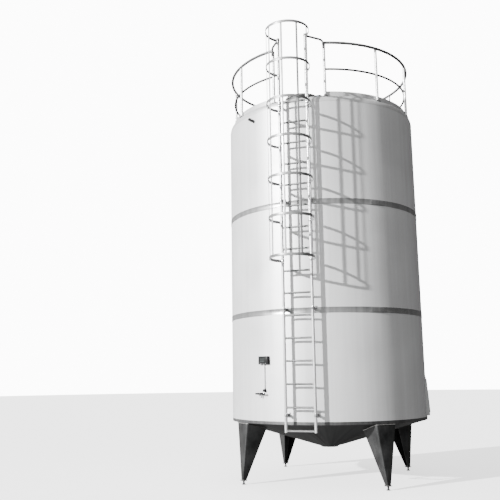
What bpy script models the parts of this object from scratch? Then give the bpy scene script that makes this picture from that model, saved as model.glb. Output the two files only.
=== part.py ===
"""Upright insulated milk silo on four folded legs, with a caged ladder and a railed roof.

Units are metres and +Z is up. The tank's own axis stands at (AXIS_X, AXIS_Y); the ladder
faces -Y. Azimuths are in degrees about that axis, 0 at the ladder and positive toward +X.
The frame's origin is on the ground, below the middle of the whole object's box.
"""
import math

import bmesh
import bpy
from mathutils import Matrix, Vector

# ---------------------------------------------------------------- driving dimensions
GAP = 0.0004                  # clearance between pieces that touch
SHEET = 0.0025                # cladding, roof and cone sheet
ROUND = 40                    # facets round the tank

CLAD_RADIUS = 1.435
TRIM_TOP = 0.880
LOWER_SEAM = 2.340
UPPER_SEAM = 3.833
ROOF_SEAM = 5.280
BELT_HEIGHT = 0.078
BELT_PROUD = 0.004

CONE_RIM_RADIUS = 1.4205
CONE_RIM_Z = 0.836
CONE_SLOPE = 0.297
NOSE_RADIUS = 0.121
NOSE_Z = 0.440

KNUCKLE_INSET = 0.060
KNUCKLE_HEIGHT = 0.095
ROOF_SLOPE = 0.1495
HATCH_HOLE_RADIUS = 0.1045    # hole in the roof centre, for the agitator

VESSEL_RADIUS = 1.350
VESSEL_WALL = 0.004
INSULATION = 0.080
SUMP_RADIUS = 0.120
SUMP_FLOOR_Z = 0.4475

LEG_AZIMUTHS = (-45.0, 45.0, 135.0, -135.0)
LEG_TOP_WIDTH = 0.320
LEG_TOP_DEPTH = 0.300
LEG_TIP = 0.056
LEG_PLATE = 0.005
LEG_TIP_Z = 0.060
LEG_TOP_RADIUS = 1.428
LEG_TIP_RADIUS = 1.440
SOLE_SIZE = 0.075
SOLE_BOTTOM_Z = 0.052
FOOT_PAD_RADIUS = 0.026
FOOT_PAD_HEIGHT = 0.014
FOOT_STEM_RADIUS = 0.014
FOOT_STEM_TOP_Z = 0.130

RUNG_PITCH = 0.300
FIRST_RUNG_Z = 0.770
RUNG_COUNT = 16
RUNG_RADIUS = 0.014
STRINGER_RADIUS = 0.020
STRINGER_HALF_SPACING = 0.200
STRINGER_DISTANCE = 1.5426    # from the tank's axis
STRINGER_TOP_Z = 6.260
STANDOFF_HEIGHTS = (0.970, 2.360, 3.860, 5.235)

CAGE_RADIUS = 0.303
CAGE_OFFSET = 0.218           # cage centre, outward of the stringers
HOOP_TOP_Z = 6.225
HOOP_BOTTOM_Z = 3.010
HOOP_COUNT = 7
HOOP_HEIGHT = 0.040
HOOP_FACETS = 20
CAGE_BAR_WIDTH = 0.030
CAGE_STRIP = 0.005            # thickness of the cage's flat bar
CAGE_BARS = {
    "cage_bar_outer_left": -80.0, "cage_bar_left": -42.0, "cage_bar_centre": 0.0,
    "cage_bar_right": 42.0, "cage_bar_outer_right": 80.0,
}

POST_RADIUS = 0.020
POST_CIRCLE = 1.390
POST_AZIMUTHS = (-85.0, -44.0, -14.0, 17.5, 51.0, 86.0, 134.0, 170.0, 206.0, 240.0)
GATE_LEFT = -14.0             # posts either side of the ladder head
GATE_RIGHT = 17.5
TOP_RAIL_Z = 6.180
TOP_RAIL_CIRCLE = 1.395
MID_RAIL_Z = 5.795
MID_RAIL_RADIUS = 0.014
TOE_TOP_Z = 5.452
TOE_CIRCLE = 1.3692
TOE_THICKNESS = 0.003
RAIL_STEP = 9.0               # degrees between the points of a rail

MANWAY_Y = -1.050
MANWAY_RADIUS = 0.230
MANWAY_FACETS = 24
MANWAY_RIM_Z = 5.470
MANWAY_HINGE_X = -0.268
MANWAY_HINGE_Z = 5.482
MANWAY_KNOB_X = 0.268

AGITATOR_SEAT_Z = 5.600
AGITATOR_SPOOL = 0.100
SHAFT_RADIUS = 0.025
SHAFT_BOTTOM_Z = 0.950
PADDLE_HEIGHTS = (1.050, 3.000)
PADDLE_SPAN = 0.900

DISPLAY_AZIMUTH = -22.6
DISPLAY_Z = 1.691
DISPLAY_WIDTH = 0.170
DISPLAY_HEIGHT = 0.110
PROBE_Z = 1.285
SAMPLE_AZIMUTH = -24.5
SAMPLE_Z = 1.243
SAMPLE_BAR_LENGTH = 0.175
PORTS = {"cip_port": (-31.2, 5.215), "overflow_port": (-28.6, 5.172)}
PORT_RADIUS = 0.0225

OUTLET_Z = 0.4925
OUTLET_RADIUS = 0.035
OUTLET_END = 0.600
OUTLET_VALVE_LENGTH = 0.060

COVER_AZIMUTH = 96.0
COVER_TOP_Z = 1.436
COVER_BOTTOM_Z = 0.900
COVER_WIDTH = 0.480
COVER_REACH = 0.038           # how far its lower edge stands off the cladding
COVER_HINGE_RADIUS = 1.444
COVER_HINGE_Z = 1.437
SIDE_MANWAY_Z = 1.080
SIDE_MANWAY_RADIUS = 0.120

# ---------------------------------------------------------------- derived dimensions
CAGE_REACH = STRINGER_DISTANCE + CAGE_OFFSET + CAGE_RADIUS + CAGE_STRIP / 2
BELT_OUTER = CLAD_RADIUS + GAP + BELT_PROUD
COVER_OUTER = CLAD_RADIUS + COVER_REACH
AXIS_Y = (CAGE_REACH - BELT_OUTER) / 2
AXIS_X = (BELT_OUTER - COVER_OUTER * math.sin(math.radians(COVER_AZIMUTH))
          - COVER_WIDTH / 2 * abs(math.cos(math.radians(COVER_AZIMUTH)))) / 2
HOOP_PITCH = (HOOP_TOP_Z - HOOP_BOTTOM_Z) / (HOOP_COUNT - 1)


def cone_z(radius):
    """Height of the cone cover's underside."""
    return CONE_RIM_Z - CONE_SLOPE * (CONE_RIM_RADIUS - radius)


KNUCKLE_TURN = math.radians(80.0)
KNUCKLE_END_RADIUS = CLAD_RADIUS - KNUCKLE_INSET * (1 - math.cos(KNUCKLE_TURN))
KNUCKLE_END_Z = ROOF_SEAM + KNUCKLE_HEIGHT * math.sin(KNUCKLE_TURN)


def roof_z(radius):
    """Height of the roof's outer face inside the shoulder."""
    return KNUCKLE_END_Z + ROOF_SLOPE * (KNUCKLE_END_RADIUS - radius)


def vessel_bottom_z(radius):
    return cone_z(radius) + INSULATION + 0.005


def vessel_top_z(radius):
    return roof_z(radius) - INSULATION - SHEET


# ---------------------------------------------------------------- scene helpers
def clear_scene():
    for obj in list(bpy.data.objects):
        bpy.data.objects.remove(obj)


def material(name, colour, roughness, metallic):
    """A Principled material, made once for each name."""
    found = bpy.data.materials.get(name)
    if found:
        return found
    made = bpy.data.materials.new(name)
    made.use_nodes = True
    shader = made.node_tree.nodes["Principled BSDF"]
    shader.inputs["Base Color"].default_value = (*colour, 1.0)
    shader.inputs["Roughness"].default_value = roughness
    shader.inputs["Metallic"].default_value = metallic
    made.diffuse_color = (*colour, 1.0)
    return made


def satin_steel():
    return material("satin_steel", (0.78, 0.79, 0.80), 0.42, 0.9)


def polished_steel():
    return material("polished_steel", (0.62, 0.63, 0.64), 0.25, 1.0)


def dark_steel():
    return material("dark_steel", (0.22, 0.22, 0.23), 0.45, 0.9)


def vessel_steel():
    return material("vessel_steel", (0.72, 0.73, 0.74), 0.30, 1.0)


def foam():
    return material("foam", (0.82, 0.72, 0.45), 0.9, 0.0)


def black_plastic():
    return material("black_plastic", (0.03, 0.03, 0.035), 0.5, 0.0)


def white_rubber():
    return material("white_rubber", (0.75, 0.75, 0.72), 0.7, 0.0)


def motor_paint():
    return material("motor_paint", (0.32, 0.38, 0.43), 0.4, 0.0)


def finish(mesh_builder, name, surface, smooth=False):
    """Turn a bmesh into a named object in the tank's own coordinates."""
    bmesh.ops.recalc_face_normals(mesh_builder, faces=mesh_builder.faces)
    mesh = bpy.data.meshes.new(name)
    mesh_builder.to_mesh(mesh)
    mesh_builder.free()
    if smooth:
        mesh.shade_smooth()
        mesh.set_sharp_from_angle(angle=math.radians(35.0))
    mesh.materials.append(surface)
    made = bpy.data.objects.new(name, mesh)
    bpy.context.scene.collection.objects.link(made)
    return made


def combine(target, tools, operation):
    """Apply exact Booleans to target and remove the tools."""
    surface = target.data.materials[0]
    for tool in tools:
        step = target.modifiers.new(tool.name, "BOOLEAN")
        step.operation = operation
        step.solver = "EXACT"
        step.object = tool
    bpy.context.view_layer.update()
    depsgraph = bpy.context.evaluated_depsgraph_get()
    baked = bpy.data.meshes.new_from_object(target.evaluated_get(depsgraph))
    target.modifiers.clear()
    target.data = baked
    baked.materials.clear()
    baked.materials.append(surface)
    for tool in tools:
        bpy.data.objects.remove(tool)
    return target


def cut(target, *tools):
    return combine(target, tools, "DIFFERENCE")


def join(target, *tools):
    return combine(target, tools, "UNION")


def set_origin(piece, point):
    """Put a moving piece's origin on its joint axis."""
    piece.data.transform(Matrix.Translation(-Vector(point)))
    piece.location = point
    return piece


# ---------------------------------------------------------------- shape helpers
def around(azimuth):
    """Axes at an azimuth: X radially outward, Y tangential, Z up."""
    turn = math.radians(azimuth)
    outward = Vector((math.sin(turn), -math.cos(turn), 0.0))
    sideways = Vector((math.cos(turn), math.sin(turn), 0.0))
    return Matrix((outward, sideways, (0.0, 0.0, 1.0))).transposed().to_4x4()


def at(azimuth, radius, height, sideways=0.0):
    return around(azimuth) @ Vector((radius, sideways, height))


def offset_path(points, distance):
    """Shift an open (r, z) path to the right of its travel, with mitred corners."""
    normals = []
    for (r0, z0), (r1, z1) in zip(points, points[1:]):
        length = math.hypot(r1 - r0, z1 - z0)
        normals.append(((z1 - z0) / length, (r0 - r1) / length))
    shifted = []
    for index, (r, z) in enumerate(points):
        before = normals[max(index - 1, 0)]
        after = normals[min(index, len(normals) - 1)]
        scale = distance / (1 + before[0] * after[0] + before[1] * after[1])
        shifted.append((r + (before[0] + after[0]) * scale, z + (before[1] + after[1]) * scale))
    return shifted


def shell_profile(points, thickness):
    """Closed outline of a sheet whose outer face follows points."""
    return list(points) + offset_path(points, -thickness)[::-1]


def lathe(name, profile, surface, segments=ROUND, smooth=True, place=None):
    """Turn a closed (r, z) outline about Z; points at r = 0 become poles."""
    builder = bmesh.new()
    rings = []
    for r, z in profile:
        if r < 1e-6:
            rings.append([builder.verts.new((0.0, 0.0, z))])
            continue
        ring = []
        for step in range(segments):
            turn = 2 * math.pi * step / segments
            ring.append(builder.verts.new((r * math.cos(turn), r * math.sin(turn), z)))
        rings.append(ring)
    for lower, upper in zip(rings, rings[1:] + rings[:1]):
        if len(lower) == 1 and len(upper) == 1:
            continue
        for step in range(segments):
            following = (step + 1) % segments
            if len(lower) == 1:
                builder.faces.new((lower[0], upper[following], upper[step]))
            elif len(upper) == 1:
                builder.faces.new((lower[step], lower[following], upper[0]))
            else:
                builder.faces.new((lower[step], lower[following], upper[following], upper[step]))
    if place:
        bmesh.ops.transform(builder, matrix=place, verts=builder.verts)
    return finish(builder, name, surface, smooth)


def block(name, low, high, surface, place=None):
    """Box between two corners, optionally moved into place."""
    builder = bmesh.new()
    bmesh.ops.create_cube(builder, size=1.0)
    low = Vector(low)
    high = Vector(high)
    size = high - low
    matrix = Matrix.Translation((low + high) / 2) @ Matrix.Diagonal((*size, 1.0))
    bmesh.ops.transform(builder, matrix=matrix, verts=builder.verts)
    if place:
        bmesh.ops.transform(builder, matrix=place, verts=builder.verts)
    return finish(builder, name, surface)


def prism(name, outline, low, high, surface, place=None):
    """Extrude a closed (x, z) outline along Y from low to high."""
    builder = bmesh.new()
    near = [builder.verts.new((x, low, z)) for x, z in outline]
    far = [builder.verts.new((x, high, z)) for x, z in outline]
    builder.faces.new(near)
    builder.faces.new(far[::-1])
    count = len(outline)
    for index in range(count):
        following = (index + 1) % count
        builder.faces.new((near[index], near[following], far[following], far[index]))
    if place:
        bmesh.ops.transform(builder, matrix=place, verts=builder.verts)
    return finish(builder, name, surface)


def sweep(name, path, section, surface, smooth=True):
    """Carry a (side, up) section along a path whose 'up' stays as near +Z as it can."""
    builder = bmesh.new()
    path = [Vector(point) for point in path]
    rings = []
    side = None
    for index, point in enumerate(path):
        before = path[max(index - 1, 0)]
        after = path[min(index + 1, len(path) - 1)]
        along = (after - before).normalized()
        if abs(along.z) < 0.95 or side is None:
            reference = Vector((0, 0, 1)) if abs(along.z) < 0.95 else Vector((0, 1, 0))
            side = along.cross(reference).normalized()
        side = (side - along * side.dot(along)).normalized()
        up = side.cross(along)
        stretch = 1.0
        if 0 < index < len(path) - 1:
            turn = (point - before).angle(after - point)
            stretch = 1.0 / max(math.cos(turn / 2), 0.5)
        rings.append([builder.verts.new(point + side * (a * stretch) + up * b) for a, b in section])
    for lower, upper in zip(rings, rings[1:]):
        for step in range(len(section)):
            following = (step + 1) % len(section)
            builder.faces.new((lower[step], lower[following], upper[following], upper[step]))
    builder.faces.new(rings[0])
    builder.faces.new(rings[-1][::-1])
    return finish(builder, name, surface, smooth)


def circle_section(radius, sides):
    turns = [2 * math.pi * (step + 0.5) / sides for step in range(sides)]
    return [(radius * math.cos(turn), radius * math.sin(turn)) for turn in turns]


def rod(name, start, end, radius, surface, sides=12):
    return sweep(name, (start, end), circle_section(radius, sides), surface)


def ring_path(radius, height, first, last, step_angle):
    """Points along a level arc about the tank's axis."""
    count = max(2, round((last - first) / step_angle))
    return [at(first + (last - first) * k / count, radius, height) for k in range(count + 1)]


def radial_rod(name, azimuth, height, radius, start, end, surface, sides=16):
    return rod(name, at(azimuth, start, height), at(azimuth, end, height), radius, surface, sides)


# ---------------------------------------------------------------- holes shared by the layers
def hole_cutters(layer_names):
    """One cutter for each pipe or neck that goes through the named layers."""
    steel = dark_steel()
    wall_start = VESSEL_RADIUS - 0.06
    wall_end = CLAD_RADIUS + 0.06
    cutters = []
    if "roof" in layer_names:
        radius = MANWAY_RADIUS + GAP
        outline = [(0.0, 5.0), (radius, 5.0), (radius, 6.0), (0.0, 6.0)]
        place = Matrix.Translation((0, MANWAY_Y, 0))
        cutters.append(lathe("hole_manway", outline, steel, MANWAY_FACETS, False, place))
    if "upper" in layer_names:
        for name, (azimuth, height) in PORTS.items():
            cutters.append(radial_rod("hole_" + name, azimuth, height, PORT_RADIUS + GAP,
                                      wall_start, wall_end, steel))
    if "lower" in layer_names:
        cutters.append(radial_rod("hole_probe", DISPLAY_AZIMUTH, PROBE_Z, 0.0075,
                                  wall_start, wall_end, steel, 8))
        cutters.append(radial_rod("hole_sample", SAMPLE_AZIMUTH, SAMPLE_Z, 0.0125,
                                  wall_start, wall_end, steel, 12))
    if "side" in layer_names:
        cutters.append(radial_rod("hole_side_manway", COVER_AZIMUTH, SIDE_MANWAY_Z,
                                  SIDE_MANWAY_RADIUS + GAP, wall_start, wall_end, steel, 24))
    if "outlet" in layer_names:
        cutters.append(rod("hole_outlet", (0, SUMP_RADIUS - 0.03, OUTLET_Z), (0, 0.5, OUTLET_Z),
                           OUTLET_RADIUS + GAP, steel, 16))
    return cutters


# ---------------------------------------------------------------- vessel and insulation
def vessel_path():
    """Outer face of the vessel, from the sump floor up to the agitator hole."""
    return [
        (0.0, SUMP_FLOOR_Z),
        (SUMP_RADIUS, SUMP_FLOOR_Z),
        (SUMP_RADIUS, vessel_bottom_z(SUMP_RADIUS)),
        (VESSEL_RADIUS, vessel_bottom_z(VESSEL_RADIUS)),
        (VESSEL_RADIUS, ROOF_SEAM - 0.030),
        (VESSEL_RADIUS - 0.040, vessel_top_z(VESSEL_RADIUS - 0.040)),
        (HATCH_HOLE_RADIUS - 0.002, vessel_top_z(HATCH_HOLE_RADIUS)),
    ]


def knuckle_path(steps=4):
    """Rolled shoulder from the cladding to the roof, then in to the agitator hole."""
    points = []
    for step in range(steps + 1):
        turn = KNUCKLE_TURN * step / steps
        radius = CLAD_RADIUS - KNUCKLE_INSET * (1 - math.cos(turn))
        points.append((radius, ROOF_SEAM + KNUCKLE_HEIGHT * math.sin(turn)))
    points.append((HATCH_HOLE_RADIUS, roof_z(HATCH_HOLE_RADIUS)))
    return points


def make_inner_vessel():
    """Milk-holding shell with its side manway neck and outlet pipe welded on."""
    steel = vessel_steel()
    vessel = lathe("inner_vessel", shell_profile(vessel_path(), VESSEL_WALL), steel)
    neck = radial_rod("neck", COVER_AZIMUTH, SIDE_MANWAY_Z, SIDE_MANWAY_RADIUS,
                      VESSEL_RADIUS - 0.020, CLAD_RADIUS + 0.001, steel, 24)
    pipe = rod("pipe", (0, SUMP_RADIUS - 0.002, OUTLET_Z), (0, OUTLET_END, OUTLET_Z),
               OUTLET_RADIUS, steel, 16)
    join(vessel, neck, pipe)
    neck_bore = radial_rod("neck_bore", COVER_AZIMUTH, SIDE_MANWAY_Z, SIDE_MANWAY_RADIUS - 0.004,
                           VESSEL_RADIUS - 0.10, CLAD_RADIUS + 0.05, steel, 24)
    pipe_bore = rod("pipe_bore", (0, SUMP_RADIUS - 0.030, OUTLET_Z),
                    (0, OUTLET_END + 0.05, OUTLET_Z), OUTLET_RADIUS - 0.002, steel, 16)
    cut(vessel, neck_bore, pipe_bore)
    return cut(vessel, *hole_cutters(("roof", "upper", "lower")))


def make_foam_insulation():
    clear = SHEET + 2 * GAP
    start = (SUMP_RADIUS + 0.006, cone_z(SUMP_RADIUS + 0.006) + clear)
    outer = [
        start,
        (CONE_RIM_RADIUS + 0.003, cone_z(CONE_RIM_RADIUS + 0.003) + clear + GAP),
        (CLAD_RADIUS - clear, CONE_RIM_Z + 0.012),
        (CLAD_RADIUS - clear, ROOF_SEAM - 0.001),
    ]
    outer += offset_path(knuckle_path(), -clear)[1:]
    inner = offset_path(vessel_path()[1:], GAP)
    inner[0] = (inner[0][0], start[1])
    body = lathe("foam_insulation", outer + inner[::-1], foam())
    return cut(body, *hole_cutters(("roof", "upper", "lower", "side", "outlet")))


# ---------------------------------------------------------------- skins
def make_cladding():
    """Three courses of sheet, stacked edge to edge."""
    inner = CLAD_RADIUS - SHEET
    courses = {
        "lower_cladding": (TRIM_TOP + GAP, LOWER_SEAM - GAP / 2, ("lower", "side")),
        "middle_cladding": (LOWER_SEAM + GAP / 2, UPPER_SEAM - GAP / 2, ()),
        "upper_cladding": (UPPER_SEAM + GAP / 2, ROOF_SEAM - GAP, ("upper",)),
    }
    for name, (low, high, layers) in courses.items():
        outline = [(CLAD_RADIUS, low), (CLAD_RADIUS, high), (inner, high), (inner, low)]
        course = lathe(name, outline, satin_steel())
        if layers:
            cut(course, *hole_cutters(layers))


def make_belts():
    low_radius = CLAD_RADIUS + GAP
    for name, middle in (("lower_belt", LOWER_SEAM), ("upper_belt", UPPER_SEAM)):
        low = middle - BELT_HEIGHT / 2
        high = middle + BELT_HEIGHT / 2
        outline = [(BELT_OUTER, low), (BELT_OUTER, high), (low_radius, high), (low_radius, low)]
        lathe(name, outline, dark_steel())


def make_bottom_trim():
    """Folded ring that closes the cladding's lower edge onto the cone."""
    outer = CLAD_RADIUS - 0.0005
    inner = CLAD_RADIUS - SHEET - GAP
    lip = CONE_RIM_RADIUS + 2 * GAP
    outline = [
        (outer, TRIM_TOP),
        (outer, CONE_RIM_Z + 0.009),
        (outer - 0.0045, CONE_RIM_Z + 0.0015),
        (lip, CONE_RIM_Z + GAP),
        (lip, CONE_RIM_Z + 0.0025),
        (outer - 0.0055, CONE_RIM_Z + 0.0035),
        (inner, CONE_RIM_Z + 0.010),
        (inner, TRIM_TOP),
    ]
    return lathe("bottom_trim", outline, dark_steel())


def make_cone_cover():
    nose_edge = NOSE_RADIUS + 0.015
    path = [
        (0.0, NOSE_Z),
        (NOSE_RADIUS, NOSE_Z),
        (nose_edge, cone_z(nose_edge)),
        (CONE_RIM_RADIUS, CONE_RIM_Z),
    ]
    cover = lathe("cone_cover", shell_profile(path, SHEET), dark_steel())
    return cut(cover, *hole_cutters(("outlet",)))


def make_roof_cover():
    roof = lathe("roof_cover", shell_profile(knuckle_path(), SHEET), satin_steel())
    return cut(roof, *hole_cutters(("roof",)))


# ---------------------------------------------------------------- legs and feet
def make_leg(name, azimuth):
    """Folded channel, open toward the tank's axis, tapering to a bored sole plate."""
    builder = bmesh.new()

    def channel(outer_radius, width, depth):
        half = width / 2
        back = outer_radius - depth
        inside = outer_radius - LEG_PLATE
        return [
            (outer_radius, -half), (outer_radius, half), (back, half), (back, half - LEG_PLATE),
            (inside, half - LEG_PLATE), (inside, LEG_PLATE - half), (back, LEG_PLATE - half),
            (back, -half),
        ]

    rim_z = CONE_RIM_Z - GAP
    foot = channel(LEG_TIP_RADIUS, LEG_TIP, LEG_TIP)
    head = channel(LEG_TOP_RADIUS, LEG_TOP_WIDTH, LEG_TOP_DEPTH)
    lower = [builder.verts.new((r, t, LEG_TIP_Z)) for r, t in foot]
    upper = [builder.verts.new((r, t, min(cone_z(r), rim_z) - 2 * GAP)) for r, t in head]
    # the channel's ends are split into three four-sided faces each
    for ring in (lower, upper):
        builder.faces.new((ring[0], ring[1], ring[4], ring[5]))
        builder.faces.new((ring[1], ring[2], ring[3], ring[4]))
        builder.faces.new((ring[0], ring[5], ring[6], ring[7]))
    for index in range(8):
        following = (index + 1) % 8
        builder.faces.new((lower[index], lower[following], upper[following], upper[index]))
    bmesh.ops.transform(builder, matrix=around(azimuth), verts=builder.verts)
    leg = finish(builder, name, dark_steel())
    middle = LEG_TIP_RADIUS - LEG_TIP / 2
    half = SOLE_SIZE / 2
    sole = block("sole", (middle - half, -half, SOLE_BOTTOM_Z),
                 (middle + half, half, LEG_TIP_Z + 0.002), dark_steel(), around(azimuth))
    join(leg, sole)
    bore = rod("bore", at(azimuth, middle, 0.0), at(azimuth, middle, 0.10),
               FOOT_STEM_RADIUS + 0.0008, dark_steel(), 12)
    return cut(leg, bore)


def make_foot(name, azimuth):
    """Screw stem on a round pad; its origin is the middle of the pad's underside."""
    pad = FOOT_PAD_RADIUS
    outline = [
        (0.0, 0.0), (pad, 0.0), (pad, FOOT_PAD_HEIGHT * 0.6), (pad * 0.8, FOOT_PAD_HEIGHT),
        (FOOT_STEM_RADIUS, FOOT_PAD_HEIGHT), (FOOT_STEM_RADIUS, FOOT_STEM_TOP_Z),
        (0.0, FOOT_STEM_TOP_Z),
    ]
    place = Matrix.Translation(at(azimuth, LEG_TIP_RADIUS - LEG_TIP / 2, 0.0))
    foot = lathe(name, outline, dark_steel(), 12, True, place)
    return set_origin(foot, at(azimuth, LEG_TIP_RADIUS - LEG_TIP / 2, 0.0))


# ---------------------------------------------------------------- ladder and cage
def make_ladder():
    """Stringers, rungs, wall stand-offs and grab tubes, welded into one piece."""
    steel = satin_steel()
    y = -STRINGER_DISTANCE
    tube = circle_section(STRINGER_RADIUS, 8)
    thin = circle_section(RUNG_RADIUS, 6)
    low = FIRST_RUNG_Z - STRINGER_RADIUS
    spacing = STRINGER_HALF_SPACING
    ladder = sweep("ladder", ((-spacing, y, low), (-spacing, y, STRINGER_TOP_Z)), tube, steel)
    right = sweep("right", ((spacing, y, low), (spacing, y, STRINGER_TOP_Z)), tube, steel)
    rungs = []
    for index in range(RUNG_COUNT):
        height = FIRST_RUNG_Z + index * RUNG_PITCH
        rungs.append(sweep("rung", ((-spacing, y, height), (spacing, y, height)), thin, steel))
    grabs = []
    for sign, gate in ((-1, GATE_LEFT + 0.5), (1, GATE_RIGHT - 0.5)):
        head = Vector((sign * spacing, y, STRINGER_TOP_Z - 0.030))
        bend = at(gate, TOP_RAIL_CIRCLE + 0.042, TOP_RAIL_Z + 0.020)
        path = [head, head.lerp(bend, 0.88), bend + Vector((0, 0, -0.012)),
                bend + Vector((0, 0, -0.045)), bend + Vector((0, 0, -0.120))]
        grabs.append(sweep("grab", path, circle_section(0.016, 8), steel))
    braces = []
    wall = math.sqrt(BELT_OUTER ** 2 - spacing ** 2) + 0.002
    for height in STANDOFF_HEIGHTS:
        for sign in (-1, 1):
            x = sign * spacing
            braces.append(block("brace", (x - 0.006, y, height - 0.020),
                                (x + 0.006, -wall, height + 0.020), steel))
    return join(ladder, right, *rungs, *grabs, *braces)


def hoop_point(angle, radius, height):
    """Point on the cage circle, 0 degrees straight out from the ladder."""
    turn = math.radians(angle)
    y = -(STRINGER_DISTANCE + CAGE_OFFSET + radius * math.cos(turn))
    return Vector((radius * math.sin(turn), y, height))


def make_cage():
    half = CAGE_STRIP / 2
    tall = HOOP_HEIGHT / 2
    section = [(-half, -tall), (half, -tall), (half, tall), (-half, tall)]
    end = 180.0 - math.degrees(math.acos((CAGE_OFFSET - 0.0115) / CAGE_RADIUS))
    facet = 2 * end / HOOP_FACETS
    for index in range(HOOP_COUNT):
        height = HOOP_TOP_Z - index * HOOP_PITCH
        path = [hoop_point(-end + facet * k, CAGE_RADIUS, height) for k in range(HOOP_FACETS + 1)]
        sweep(f"hoop_{index + 1}", path, section, satin_steel())
    flat = (CAGE_RADIUS - half) * math.cos(math.radians(facet / 2))
    inner = math.sqrt(flat ** 2 - (CAGE_BAR_WIDTH / 2) ** 2) - GAP
    for name, angle in CAGE_BARS.items():
        middle = hoop_point(angle, inner - CAGE_STRIP / 2, 0.0)
        place = Matrix.Translation(middle) @ Matrix.Rotation(math.radians(angle), 4, "Z")
        block(name, (-CAGE_BAR_WIDTH / 2, -half, HOOP_BOTTOM_Z - tall),
              (CAGE_BAR_WIDTH / 2, half, HOOP_TOP_Z + tall), satin_steel(), place)


# ---------------------------------------------------------------- guard rail
def make_guard_rail():
    """Posts on the roof's shoulder, two round rails and the toe board inside them."""
    steel = polished_steel()
    keep_out = offset_path(knuckle_path(), GAP)
    top = TOP_RAIL_Z - POST_RADIUS - GAP
    for index, azimuth in enumerate(POST_AZIMUTHS):
        post = rod(f"post_{index + 1}", at(azimuth, POST_CIRCLE, ROOF_SEAM + 0.03),
                   at(azimuth, POST_CIRCLE, top), POST_RADIUS, steel, 10)
        solid = keep_out + [(HATCH_HOLE_RADIUS, ROOF_SEAM - 0.2), (CLAD_RADIUS, ROOF_SEAM - 0.2)]
        cut(post, lathe("roof_keep_out", solid, steel))
    last = GATE_LEFT + 360.0
    rail = ring_path(TOP_RAIL_CIRCLE, TOP_RAIL_Z, GATE_RIGHT, last, RAIL_STEP)
    sweep("top_rail", rail, circle_section(POST_RADIUS, 7), steel)
    mid_circle = POST_CIRCLE - POST_RADIUS - MID_RAIL_RADIUS - 0.001
    rail = ring_path(mid_circle, MID_RAIL_Z, GATE_RIGHT, last, RAIL_STEP)
    sweep("mid_rail", rail, circle_section(MID_RAIL_RADIUS, 6), steel)
    low = roof_z(TOE_CIRCLE - TOE_THICKNESS) + 2 * GAP
    half = TOE_THICKNESS / 2
    tall = (TOE_TOP_Z - low) / 2
    section = [(-half, -tall), (half, -tall), (half, tall), (-half, tall)]
    board = ring_path(TOE_CIRCLE - half, (TOE_TOP_Z + low) / 2, GATE_RIGHT, last, RAIL_STEP)
    sweep("toe_board", board, section, satin_steel())


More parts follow.
